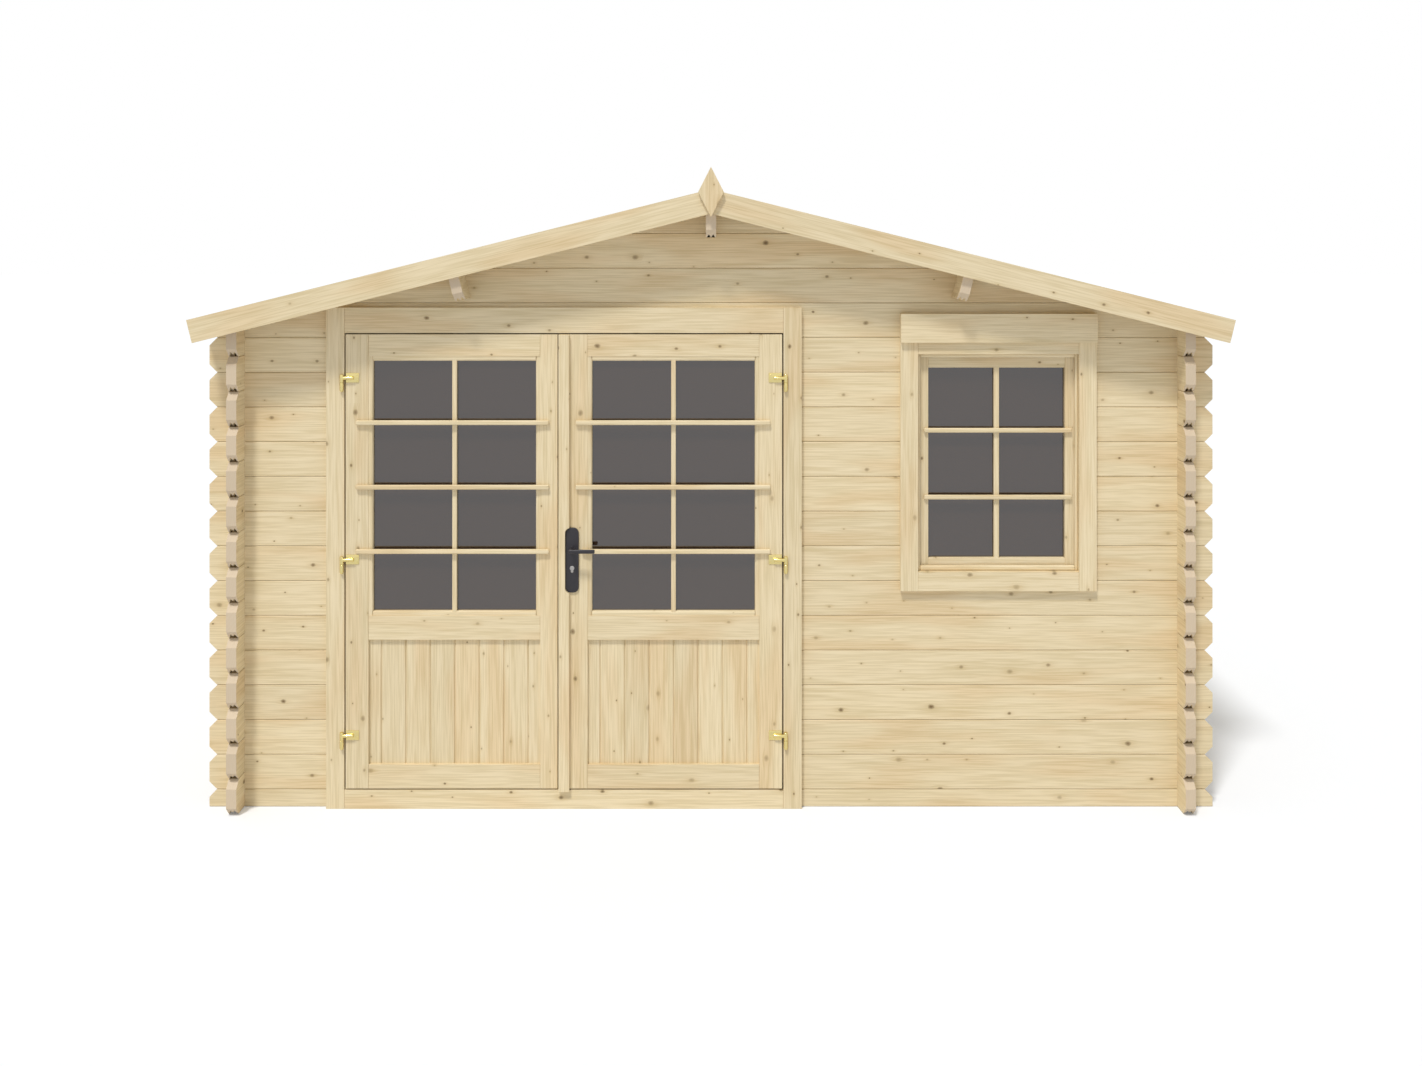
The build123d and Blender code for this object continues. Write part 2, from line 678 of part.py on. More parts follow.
with BuildPart() as jamb_hinge_pins:
    for pin_x in (left_pin_x, right_pin_x):
        for height in HINGE_HEIGHTS:
            split = height + BARREL_SPLIT - RUNNING_GAP
            with BuildSketch(Plane.XY.offset(height + BARREL_FOOT)):
                with Locations((pin_x, pin_y)):
                    RegularPolygon(BARREL_R, ROUND_SIDES)
                with Locations((pin_x, pin_y + PIN_FORWARD / 2)):
                    Rectangle(BARREL_R, PIN_FORWARD)
            extrude(amount=BARREL_SPLIT - BARREL_FOOT - RUNNING_GAP)
            with BuildSketch(Plane.XY.offset(split)):
                with Locations((pin_x, pin_y)):
                    RegularPolygon(PIN_R, PIN_SIDES)
            extrude(amount=PIN_LENGTH)
keep(jamb_hinge_pins.part, "jamb_hinge_pins")


def leaf_hinges(pin_x, inward):
    """Upper barrels, each with an arm that ends on a plate on the face of the leaf."""
    plate_near = pin_x + inward * HINGE_PLATE_START
    plate_far = plate_near + inward * HINGE_PLATE_WIDTH
    half_plate = HINGE_PLATE_HEIGHT / 2
    with BuildPart() as hinges:
        for height in HINGE_HEIGHTS:
            with BuildSketch(Plane.YZ.offset(pin_x)):
                with Locations((pin_y, height)):
                    RegularPolygon(HINGE_ARM_R, ROUND_SIDES)
            extrude(amount=inward * HINGE_ARM_LENGTH)
            with BuildSketch(Plane.XZ.offset(-LEAF_FRONT)):
                opening(
                    min(plate_near, plate_far),
                    max(plate_near, plate_far),
                    height - half_plate,
                    height + half_plate,
                    Mode.ADD,
                )
            extrude(amount=HINGE_PLATE_THICK)
            with BuildSketch(Plane.XY.offset(height + BARREL_SPLIT)):
                with Locations((pin_x, pin_y)):
                    RegularPolygon(BARREL_R, ROUND_SIDES)
            extrude(amount=BARREL_TOP - BARREL_SPLIT)
            with BuildSketch(Plane.XY.offset(height + BARREL_SPLIT)):
                with Locations((pin_x, pin_y)):
                    RegularPolygon(PIN_R + RUNNING_GAP, PIN_SIDES, major_radius=False)
            extrude(amount=PIN_LENGTH, mode=Mode.SUBTRACT)
    return hinges.part


keep(leaf_hinges(left_pin_x, 1), "left_door_hinges")
keep(leaf_hinges(right_pin_x, -1), "right_door_hinges")

# Window frame of U section, with the sash held between beads

with BuildPart() as window_side_frames:
    for inner, outward in ((WINDOW_LEFT, -1), (WINDOW_RIGHT, 1)):
        web = inner + outward * WINDOW_WEB
        outer = inner + outward * WINDOW_CASING
        with BuildSketch(Plane.XY.offset(WINDOW_FOOT)):
            opening(min(inner, outer), max(inner, outer), CASING_FRONT, FACE, Mode.ADD)
            opening(min(inner, outer), max(inner, outer), INSIDE, CASING_BACK, Mode.ADD)
        extrude(amount=window_head_log - WINDOW_FOOT)
        with BuildSketch(Plane.XY.offset(window_foot_log)):
            opening(min(inner, web), max(inner, web), FACE, INSIDE, Mode.ADD)
        extrude(amount=window_head_log - window_foot_log)
keep(window_side_frames.part, "window_side_frames")

window_half = (WINDOW_RIGHT - WINDOW_LEFT) / 2
casing_half = window_half + WINDOW_CASING
inner_casing = WINDOW_SILL - window_foot_log
with BuildPart() as window_sill_and_head:
    with BuildSketch(Plane.YZ.offset(WINDOW_MIDDLE)):
        Polygon(
            (CASING_FRONT, WINDOW_FOOT),
            (CASING_FRONT, WINDOW_SILL),
            (CASING_BACK, WINDOW_SILL),
            (CASING_BACK, WINDOW_FOOT),
            (INSIDE, WINDOW_FOOT),
            (INSIDE, window_foot_log),
            (FACE, window_foot_log),
            (FACE, WINDOW_FOOT),
            align=None,
        )
        opening(CASING_FRONT, CASING_BACK, WINDOW_HEAD, window_head_log, Mode.ADD)
    extrude(amount=window_half, both=True)
    with BuildSketch(Plane.YZ.offset(WINDOW_MIDDLE)):
        opening(INSIDE, CASING_BACK, window_head_log, window_head_log + inner_casing, Mode.ADD)
    extrude(amount=casing_half, both=True)
    for casing_face in window_sill_and_head.faces().sort_by(Axis.Y)[:2]:
        chamfer(casing_face.edges().filter_by(Axis.Z), length=JOINT_CHAMFER)
keep(window_sill_and_head.part, "window_sill_and_head")

with BuildPart() as window_head_board:
    with BuildSketch(Plane.YZ.offset(WINDOW_MIDDLE)):
        Polygon(
            (FACE - HEAD_BOARD_OUT, HEAD_BOARD_FOOT),
            (CASING_FRONT, HEAD_BOARD_FOOT),
            (CASING_FRONT, window_head_log),
            (FACE, window_head_log),
            (FACE, HEAD_BOARD_TOP),
            (FACE - HEAD_BOARD_OUT, HEAD_BOARD_TOP),
            align=None,
        )
    extrude(amount=casing_half, both=True)
keep(window_head_board.part, "window_head_board")

with BuildPart() as window_sash:
    with BuildSketch(Plane.XZ.offset(-SASH_FRONT)):
        opening(WINDOW_LEFT, WINDOW_RIGHT, WINDOW_SILL, WINDOW_HEAD, Mode.ADD)
        opening(
            WINDOW_LEFT + SASH_STILE,
            WINDOW_RIGHT - SASH_STILE,
            WINDOW_SILL + SASH_STILE,
            WINDOW_HEAD - SASH_TOP_RAIL,
        )
    extrude(amount=-SASH_THICK)
    sash_face = window_sash.faces().sort_by(Axis.Y)[0]
    chamfer(sash_face.inner_wires()[0].edges(), length=BEAD_CHAMFER)
keep(window_sash.part, "window_sash")

with BuildPart() as window_glass:
    with BuildSketch(Plane.XZ.offset(-WINDOW_GLASS_FRONT)):
        opening(
            WINDOW_LEFT + SASH_STILE,
            WINDOW_RIGHT - SASH_STILE,
            WINDOW_SILL + SASH_STILE,
            WINDOW_HEAD - SASH_TOP_RAIL,
            Mode.ADD,
        )
    extrude(amount=-GLASS_THICK)
keep(window_glass.part, "window_glass")

with BuildPart() as window_beads:
    with BuildSketch(Plane.XZ.offset(-SASH_FRONT)):
        opening(WINDOW_LEFT, WINDOW_RIGHT, WINDOW_SILL, WINDOW_HEAD, Mode.ADD)
        opening(
            WINDOW_LEFT + SIDE_BEAD,
            WINDOW_RIGHT - SIDE_BEAD,
            WINDOW_SILL + SILL_BEAD,
            WINDOW_HEAD - HEAD_BEAD,
        )
    extrude(amount=SIDE_BEAD)
keep(window_beads.part, "window_beads")
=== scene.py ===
# %% [markdown]
# A small log cabin of bare pine, with glazed double doors and one window.
# The shapes that carry load come from the CAD frame, which is loaded here and never changed.
# This lesson adds what a joiner fits last: glazing bars, rounded brass hinges, a door handle,
# the single boards of the roof and the floor, and the look of fresh planed pine on every piece.

# %% Load the frame
import bmesh
import bpy
import math
from mathutils import Matrix, Vector


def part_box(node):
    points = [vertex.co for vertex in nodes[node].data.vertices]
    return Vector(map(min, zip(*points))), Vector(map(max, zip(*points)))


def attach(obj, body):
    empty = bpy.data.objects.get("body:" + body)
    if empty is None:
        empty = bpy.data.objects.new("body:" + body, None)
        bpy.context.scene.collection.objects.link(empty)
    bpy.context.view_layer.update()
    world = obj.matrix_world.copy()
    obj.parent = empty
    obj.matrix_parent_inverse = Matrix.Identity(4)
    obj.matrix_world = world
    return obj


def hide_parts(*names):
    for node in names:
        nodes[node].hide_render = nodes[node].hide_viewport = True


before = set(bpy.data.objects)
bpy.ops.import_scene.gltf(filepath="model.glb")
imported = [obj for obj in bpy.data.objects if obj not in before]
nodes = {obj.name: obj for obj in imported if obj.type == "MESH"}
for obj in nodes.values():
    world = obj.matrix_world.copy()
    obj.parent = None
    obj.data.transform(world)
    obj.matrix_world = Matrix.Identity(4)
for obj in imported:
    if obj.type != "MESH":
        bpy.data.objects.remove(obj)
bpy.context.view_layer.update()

# %% [markdown]
# Every material here is built from nodes, so a few short helpers keep the wiring readable.
# add_node places one node and fills in its sockets, either with a plain value or with the
# output of another node. new_group makes a node group with named sockets, so that one recipe,
# such as pine grain, can be used by many materials with different numbers.

# %% Node helpers
def fill(tree, node, sockets):
    """Sets the sockets of a node by name or number, from values or from other nodes' outputs."""
    for key, value in sockets.items():
        if isinstance(value, bpy.types.NodeSocket):
            tree.links.new(value, node.inputs[key])
        else:
            node.inputs[key].default_value = value


def add_node(tree, kind, sockets=None, **settings):
    """One shader node of a kind such as Math, with its settings and its sockets filled in."""
    node = tree.nodes.new("ShaderNode" + kind)
    for key, value in settings.items():
        setattr(node, key, value)
    fill(tree, node, sockets or {})
    return node


def sums_in(tree):
    """Two helpers for one tree: the first does sums on numbers, the second on whole vectors."""

    def number_sum(operation, *values):
        node = add_node(tree, "Math", dict(enumerate(values)), operation=operation)
        return node.outputs[0]

    def vector_sum(operation, *vectors):
        node = add_node(tree, "VectorMath", dict(enumerate(vectors)), operation=operation)
        return node.outputs[0]

    return number_sum, vector_sum


def scaled(tree, vector, factor):
    """A vector or a colour, times one number."""
    sockets = {0: vector, "Scale": factor}
    return add_node(tree, "VectorMath", sockets, operation="SCALE").outputs[0]


def vector_length(tree, vector):
    """How long a vector is."""
    return add_node(tree, "VectorMath", {0: vector}, operation="LENGTH").outputs["Value"]


def parts_of(tree, vector):
    """The X, Y and Z of a vector, as three outputs."""
    return add_node(tree, "SeparateXYZ", {0: vector}).outputs


def blend_colours(tree, share, first, second, how="MIX"):
    """A colour between first and second, by a share from 0 to 1."""
    sockets = {0: share, 6: first, 7: second}
    return add_node(tree, "Mix", sockets, data_type="RGBA", blend_type=how).outputs[2]


def ramp(tree, value, low, high, to_low=0.0, to_high=1.0):
    """Maps a value smoothly from one range to another, and holds it at both ends."""
    sockets = {0: value, 1: low, 2: high, 3: to_low, 4: to_high}
    return add_node(tree, "MapRange", sockets, interpolation_type="SMOOTHSTEP").outputs[0]


def new_group(name, inputs, outputs):
    """A shader node group with named sockets, the values it is given, and its output node."""
    group = bpy.data.node_groups.new(name, "ShaderNodeTree")
    for in_out, sockets in (("INPUT", inputs), ("OUTPUT", outputs)):
        for socket_name, kind in sockets:
            group.interface.new_socket(name=socket_name, in_out=in_out, socket_type="NodeSocket" + kind)
    given = group.nodes.new("NodeGroupInput").outputs
    return group, given, group.nodes.new("NodeGroupOutput")


def new_material(name):
    """A new material with its node tree and its Principled shader."""
    material = bpy.data.materials.new(name)
    material.use_nodes = True
    return material, material.node_tree, material.node_tree.nodes["Principled BSDF"]


def linear(red, green, blue):
    """A colour as a paint chart gives it, 0 to 255, in the linear values that the shader needs."""
    values = []
    for channel in (red, green, blue):
        share = channel / 255
        values.append(share / 12.92 if share <= 0.04045 else ((share + 0.055) / 1.055) ** 2.4)
    return (*values, 1.0)


# %% [markdown]
# No two boards from a mill have the same tone. The group board_numbers cuts space into cells as
# large as one board, and gives every cell a random but fixed number. A log wall needs cells
# 138 mm high, a boarded panel needs cells 97 mm wide, and so on. The group also says how near
# the edge of a cell is, and gives there a line of painted shade, for the shadow that lies in the
# V where two boards meet.

# %% Group: a number for every board
LONGEST_SHIFT = 9.0
# Painted seam shade: full within 0.8 mm of a cell edge, and gone at 2.2 mm.
JOINT_SHADE_OUTER, JOINT_SHADE_INNER = 0.0022, 0.0008

board_numbers, given, result = new_group(
    "board_numbers",
    [("Position", "Vector"), ("First Edge", "Vector"), ("Board Size", "Vector"), ("Batch", "Float")],
    [("Tone", "Float"), ("Shift", "Vector"), ("Seam Shade", "Float")],
)
board_sum, board_vector = sums_in(board_numbers)
from_edge = board_vector("SUBTRACT", given["Position"], given["First Edge"])
in_boards = board_vector("DIVIDE", from_edge, given["Board Size"])
sockets = {"Vector": board_vector("FLOOR", in_boards), "W": given["Batch"]}
dice = add_node(board_numbers, "TexWhiteNoise", sockets, noise_dimensions="4D").outputs
shift = scaled(board_numbers, dice["Color"], LONGEST_SHIFT)
joint_number = board_vector("FLOOR", board_vector("ADD", in_boards, (0.5, 0.5, 0.5)))
to_joint = board_vector("SUBTRACT", in_boards, joint_number)
to_joint = board_vector("ABSOLUTE", board_vector("MULTIPLY", to_joint, given["Board Size"]))
to_x, to_y, to_z = parts_of(board_numbers, to_joint)
nearest = board_sum("MINIMUM", board_sum("MINIMUM", to_x, to_y), to_z)
# Painted shade: a dark line along each cell edge, for the shadow in the V where two boards meet.
seam_shade = ramp(board_numbers, nearest, JOINT_SHADE_OUTER, JOINT_SHADE_INNER)
fill(board_numbers, result, {"Tone": dice["Value"], "Shift": shift, "Seam Shade": seam_shade})
print("group", board_numbers.name, len(board_numbers.nodes), "nodes")

# %% [markdown]
# Pine has three things to see from a few metres away. Fine streaks run along the board, because
# the saw cuts through the year rings. Knots are the feet of branches: small, brown and round,
# and the streaks flow round them like water round a stone. Between them lie broad clouds,
# some rosy and some yellow. The group pine_grain draws all three for a board whose grain runs
# along X and whose width runs along Z. A Voronoi texture scatters the knots, because it gives
# both the distance to the nearest one and its place, and the place is what bends the streaks.
# Each of its cells also has a random colour, whose red sets the size of the knot and whose
# green sets how dark it is.

# %% Group: pine grain, knots
KNOTS_PER_METRE = 5.8
KNOT_SCATTER = 0.72
KNOT_OVAL = (0.76, 1.0, 0.0)
SMALLEST_KNOT = 0.0030
KNOT_SPREAD = 0.0075
RARE_LARGE_KNOTS = 2.5
LEAST_SIZE = 0.0004
WOBBLE_SCALE, WOBBLE = 90.0, 0.5
KNOT_RIM, KNOT_HEART = (1.45, 0.75), (0.9, 0.35)

pine_grain, given, result = new_group(
    "pine_grain",
    [("Position", "Vector"), ("Shift", "Vector")]
    + [(name, "Float") for name in ("Tone", "End Grain", "Seam Shade", "Seam Shade Strength", "Knot Size")]
    + [(name, "Color") for name in ("Pale Wood", "Streak", "Rosy", "Knot", "End Wood")],
    [("Color", "Color"), ("Roughness", "Float"), ("Height", "Float")],
)
grain_sum, grain_vector = sums_in(pine_grain)
place = grain_vector("ADD", given["Position"], given["Shift"])
along, deep, across = parts_of(pine_grain, place)
flat = add_node(pine_grain, "CombineXYZ", {0: along, 1: across}).outputs[0]
sockets = {"Vector": flat, "Scale": KNOTS_PER_METRE, "Randomness": KNOT_SCATTER}
knots = add_node(pine_grain, "TexVoronoi", sockets, voronoi_dimensions="2D").outputs
knot_place = grain_vector("SUBTRACT", flat, knots["Position"])
luck = add_node(pine_grain, "SeparateColor", {0: knots["Color"]}).outputs
size = grain_sum("POWER", luck["Red"], RARE_LARGE_KNOTS)
size = grain_sum("MULTIPLY_ADD", size, KNOT_SPREAD, SMALLEST_KNOT)
size = grain_sum("MULTIPLY", size, given["Knot Size"])
size = grain_sum("MAXIMUM", size, LEAST_SIZE)
sockets = {"Vector": place, "Scale": WOBBLE_SCALE, "Detail": 2.0}
wobble = add_node(pine_grain, "TexNoise", sockets).outputs[0]
distance = vector_length(pine_grain, grain_vector("MULTIPLY", knot_place, KNOT_OVAL))
distance = grain_sum("DIVIDE", distance, size)
distance = grain_sum("ADD", distance, grain_sum("MULTIPLY", wobble, WOBBLE))
knot_mask = ramp(pine_grain, distance, *KNOT_RIM)
knot_heart = ramp(pine_grain, distance, *KNOT_HEART)

# %% [markdown]
# A streak that meets a knot is pushed aside and closes again behind it. So the place across the
# board is moved away from the knot before the streak noise is read, by a push that fades with
# distance and reaches twice as far along the board as across it.

# %% Group: pine grain, streaks that flow round the knots
FLOW_ALONG = 0.5
FLOW_FADE = -0.42
FLOW_PUSH = 0.85
WAVER_SCALE = (1.3, 3.0, 3.0)
WAVER = 0.006
NATURAL_BASE = 2.718

knot_along, knot_across, _ = parts_of(pine_grain, knot_place)
long_way = grain_sum("DIVIDE", grain_sum("MULTIPLY", knot_along, FLOW_ALONG), size)
short_way = grain_sum("DIVIDE", knot_across, size)
reach = grain_sum("ADD", grain_sum("POWER", long_way, 2.0), grain_sum("POWER", short_way, 2.0))
near = grain_sum("POWER", NATURAL_BASE, grain_sum("MULTIPLY", reach, FLOW_FADE))
push = grain_sum("MULTIPLY", grain_sum("MULTIPLY", near, knot_across), FLOW_PUSH)
sockets = {"Vector": grain_vector("MULTIPLY", place, WAVER_SCALE), "Scale": 1.0, "Detail": 1.0}
waver = add_node(pine_grain, "TexNoise", sockets).outputs[0]
bent = grain_sum("SUBTRACT", across, push)
bent = grain_sum("ADD", bent, grain_sum("MULTIPLY", waver, WAVER))


def streaks(stretch_along, stretch_deep, stretch_across, detail):
    """Noise that is pulled out along the board, with about so many streaks to a metre each way."""
    stretched = {
        0: grain_sum("MULTIPLY", along, stretch_along),
        1: grain_sum("MULTIPLY", deep, stretch_deep),
        2: grain_sum("MULTIPLY", bent, stretch_across),
    }
    pulled = add_node(pine_grain, "CombineXYZ", stretched).outputs[0]
    sockets = {"Vector": pulled, "Scale": 1.0, "Detail": detail}
    return add_node(pine_grain, "TexNoise", sockets).outputs[0]


broad = streaks(1.6, 20.0, 48.0, 2.0)
fine = streaks(5.5, 70.0, 190.0, 2.0)
clouds = streaks(2.0, 3.0, 9.0, 1.0)

# %% [markdown]
# The sawn end of a log shows rings in place of streaks, and no knots. A Wave texture set to
# rings draws them round a pith that lies somewhere beside the log.

# %% Group: pine grain, the sawn ends
RINGS_PER_METRE = 38.0
RING_SHARE = 0.22
RING_OVAL = (0.0, 1.0, 0.45)

end_mask = given["End Grain"]
not_end = grain_sum("SUBTRACT", 1.0, end_mask)
pith = grain_vector("MULTIPLY", given["Position"], (0.0, 1.0, 1.0))
pith = grain_vector("ADD", pith, given["Shift"])
pith = grain_vector("MULTIPLY", pith, RING_OVAL)
sockets = {"Vector": pith, "Scale": RINGS_PER_METRE, "Distortion": 1.6, "Detail": 1.0, "Detail Scale": 3.0}
rings = add_node(pine_grain, "TexWave", sockets, wave_type="RINGS", rings_direction="X").outputs
ring_share = grain_sum("MULTIPLY", rings["Fac"], RING_SHARE)
ringed = blend_colours(pine_grain, ring_share, given["End Wood"], given["Rosy"], how="MULTIPLY")

# %% [markdown]
# Now the colours are laid over each other as a painter would: pale wood, streaks, rosy clouds,
# the darker wood round each knot, the knots, and last the painted shade in the seams between
# boards. The tone of the board scales the whole, and the streaks also give a faint relief,
# because the soft wood wears down first.

# %% Group: pine grain, mixing
BROAD_RANGE, BROAD_SHARE = (0.4, 0.66), 0.24
FINE_RANGE, FINE_SHARE = (0.38, 0.64), 0.60
CLOUD_RANGE, CLOUD_SHARE = (0.46, 0.68), 0.75
HALO_SHARE = 0.32
KNOT_SHARE, HEART_SHARE = 0.68, 0.3
PALEST_KNOT = 0.35
DARKEST_BOARD, PALEST_BOARD = 0.965, 1.025
SMOOTHEST_WOOD, ROUGHNESS_SPREAD = 0.52, 0.16
STREAK_RELIEF, KNOT_RELIEF = -0.6, 0.3

broad_share = grain_sum("MULTIPLY", ramp(pine_grain, broad, *BROAD_RANGE), BROAD_SHARE)
fine_share = grain_sum("MULTIPLY", ramp(pine_grain, fine, *FINE_RANGE), FINE_SHARE)
streak_share = grain_sum("ADD", broad_share, fine_share)
wood = blend_colours(pine_grain, streak_share, given["Pale Wood"], given["Streak"])
cloud_share = grain_sum("MULTIPLY", ramp(pine_grain, clouds, *CLOUD_RANGE), CLOUD_SHARE)
wood = blend_colours(pine_grain, cloud_share, wood, given["Rosy"], how="MULTIPLY")
wood = blend_colours(pine_grain, end_mask, wood, ringed)
halo_share = grain_sum("MULTIPLY", grain_sum("MULTIPLY", near, HALO_SHARE), not_end)
wood = blend_colours(pine_grain, halo_share, wood, given["Streak"], how="MULTIPLY")
heart_share = grain_sum("MULTIPLY", knot_heart, HEART_SHARE)
knot_share = grain_sum("ADD", grain_sum("MULTIPLY", knot_mask, KNOT_SHARE), heart_share)
knot_share = grain_sum("MULTIPLY", knot_share, not_end)
knot_depth = ramp(pine_grain, luck["Green"], 0.0, 1.0, PALEST_KNOT, 1.0)
knot_share = grain_sum("MULTIPLY", knot_share, knot_depth)
wood = blend_colours(pine_grain, knot_share, wood, given["Knot"])
# Painted shade in the seams, laid in the brown of the knots.
seam_shade_share = grain_sum("MULTIPLY", given["Seam Shade"], given["Seam Shade Strength"])
wood = blend_colours(pine_grain, seam_shade_share, wood, given["Knot"])
board_tone = ramp(pine_grain, given["Tone"], 0.0, 1.0, DARKEST_BOARD, PALEST_BOARD)
roughness = grain_sum("MULTIPLY_ADD", fine, ROUGHNESS_SPREAD, SMOOTHEST_WOOD)
height = grain_sum("MULTIPLY", streak_share, STREAK_RELIEF)
height = grain_sum("SUBTRACT", height, grain_sum("MULTIPLY", knot_mask, KNOT_RELIEF))
toned = scaled(pine_grain, wood, board_tone)
fill(pine_grain, result, {"Color": toned, "Roughness": roughness, "Height": height})
print("group", pine_grain.name, len(pine_grain.nodes), "nodes")

# %% [markdown]
# One pine material is made per piece, so that the grain runs along that piece. A Mapping node
# turns the piece until its grain lies along X and its width along Z, which is what the group
# expects. The sawn end of a log is where the surface faces along the grain. Every material also
# gets a batch number, so that no two pieces show the same knots.

# %% Pine for any direction
TURNS = {
    "along_front": (0.0, 0.0, 0.0),
    "along_side": (0.0, 0.0, -90.0),
    "upright": (0.0, 90.0, 0.0),
    "flat_along_front": (90.0, 0.0, 0.0),
}
PINE_COLOURS = {
    "Pale Wood": linear(233, 216, 180),
    "Streak": linear(212, 193, 151),
    "Rosy": linear(249, 240, 230),
    "Knot": linear(116, 94, 62),
    "End Wood": linear(209, 191, 165),
}
END_FACING = (0.55, 0.65)
RELIEF = {"Strength": 0.25, "Distance": 0.0006}
PINE_GLOSS = 0.3
WHOLE = 9.0
EDGE = -4.5
ONE_CELL = (EDGE, EDGE, EDGE)
ONE_BOARD = (WHOLE, WHOLE, WHOLE)
SMALL_KNOTS = 0.5
batch = 0


# joints sets how dark the painted shade in the seams between cells is.
def pine(name, grain, first_edge=ONE_CELL, board_size=ONE_BOARD, joints=0.0, ends=False, knot_size=1.0):
    """Planed pine whose grain goes a way named in TURNS, or is turned by three angles."""
    global batch
    batch += 1
    material, tree, shader = new_material("pine_" + name)
    coordinates = add_node(tree, "TexCoord").outputs
    angles = [math.radians(a) for a in TURNS.get(grain, grain)]
    turned = add_node(tree, "Mapping", {"Vector": coordinates["Object"], "Rotation": angles})
    sockets = {"First Edge": first_edge, "Board Size": board_size, "Batch": float(batch)}
    sockets["Position"] = coordinates["Object"]
    numbers = add_node(tree, "Group", sockets, node_tree=board_numbers).outputs
    is_end = 0.0
    if ends:
        sockets = {"Vector": coordinates["Normal"], "Rotation": angles}
        facing = add_node(tree, "Mapping", sockets, vector_type="VECTOR").outputs[0]
        towards_end = add_node(tree, "Math", {0: parts_of(tree, facing)[0]}, operation="ABSOLUTE")
        is_end = ramp(tree, towards_end.outputs[0], *END_FACING)
    sockets = {key: numbers[key] for key in ("Shift", "Tone", "Seam Shade")}
    sockets.update({"Position": turned.outputs[0], "End Grain": is_end, "Seam Shade Strength": joints})
    sockets.update({"Knot Size": knot_size, **PINE_COLOURS})
    look = add_node(tree, "Group", sockets, node_tree=pine_grain).outputs
    bump = add_node(tree, "Bump", {"Height": look["Height"], **RELIEF})
    fill(tree, shader, {"Base Color": look["Color"], "Roughness": look["Roughness"]})
    fill(tree, shader, {"Normal": bump.outputs[0], "Specular IOR Level": PINE_GLOSS})
    return material


def dress(piece, material):
    """Gives a mesh object one material."""
    piece.data.materials.clear()
    piece.data.materials.append(material)


# %% [markdown]
# The logs of the front and the back run along X, and those of the sides along Y. Each course is
# 138 mm high, and the front courses start half a log higher than the side ones. The doorway
# parts the front logs, so the cells are parted there too.

# %% Dress the logs
LOG_HEIGHT = 0.138
DOOR_MIDDLE = -0.582
# How strong the painted shade in the log seams is.
LOG_SEAM_SHADE = 0.35

log_size = (WHOLE, WHOLE, LOG_HEIGHT)
front_start = (EDGE, EDGE, LOG_HEIGHT / 2)
log_look = {"joints": LOG_SEAM_SHADE, "ends": True}
front_logs = pine("front_logs", "along_front", (DOOR_MIDDLE, EDGE, LOG_HEIGHT / 2), log_size, **log_look)
gable_logs = pine("gable_logs", "along_front", front_start, log_size, **log_look)
back_logs = pine("back_logs", "along_front", front_start, log_size, **log_look)
side_logs = pine("side_logs", "along_side", (0, EDGE, 0), log_size, **log_look)
for name, node in nodes.items():
    if name.startswith("front_wall"):
        dress(node, front_logs)
    if name.startswith(("front_gable", "log_over")):
        dress(node, gable_logs)
    if name.startswith("back_wall"):
        dress(node, back_logs)
    if name.startswith(("left_wall", "right_wall")):
        dress(node, side_logs)
print("logs dressed,", batch, "pine materials")

# %% [markdown]
# The joinery of a cabin is sawn from single boards, so every board has its grain along its own
# length. Where one CAD node holds a left and a right board, a cell edge between them gives the
# two their own tones. The fascias slope with the roof, so their grain is turned by its angle.

# %% Dress the joinery of the cabin
WINDOW_MIDDLE = 1.138
SLOPE = 14.0
WINDOW_MID_HEIGHT = 1.4
FASCIA_KNOTS = 0.9
BEARER_SPACING = 0.7

left_and_right = (0, EDGE, EDGE)
front_and_back = (EDGE, 0, EDGE)
window_sides = (WINDOW_MIDDLE, EDGE, EDGE)
window_levels = (EDGE, EDGE, WINDOW_MID_HEIGHT)
bearer_cells = {"board_size": (BEARER_SPACING, WHOLE, WHOLE)}
for name, grain, first_edge, wood in (
    ("ridge_purlin", "along_side", ONE_CELL, {"ends": True}),
    ("side_purlins", "along_side", left_and_right, {"ends": True}),
    ("floor_bearers", "along_side", (BEARER_SPACING / 2, EDGE, EDGE), bearer_cells),
    ("left_fascias", (0, SLOPE, 0), front_and_back, {"knot_size": FASCIA_KNOTS}),
    ("right_fascias", (0, -SLOPE, 0), front_and_back, {"knot_size": FASCIA_KNOTS}),
    ("finials", "upright", front_and_back, {}),
    ("door_jambs", "upright", (DOOR_MIDDLE, EDGE, EDGE), {}),
    ("door_head", "along_front", ONE_CELL, {}),
    ("door_threshold", "along_front", ONE_CELL, {}),
    ("window_side_frames", "upright", window_sides, {}),
    ("window_sill_and_head", "along_front", window_levels, {}),
    ("window_head_board", "along_front", ONE_CELL, {}),
):
    dress(nodes[name], pine(name, grain, first_edge, **wood))
print("frames dressed,", batch, "pine materials")

# %% [markdown]
# Each leaf has two upright stiles, level rails between them, and a panel of upright boards
# 97 mm wide. The panel is one node, so its boards come from the cells, with a line of painted
# shade at each seam between them.

# %% Dress the door leaves
LIGHT_MIDDLES = {"left": -1.0155, "right": -0.1485}
PANEL_BOARD = 0.097
# How strong the painted shade between the panel boards is.
PANEL_SEAM_SHADE = 0.12
RAIL_CELLS = {"first_edge": (EDGE, EDGE, 0.4), "board_size": (WHOLE, WHOLE, 0.8)}

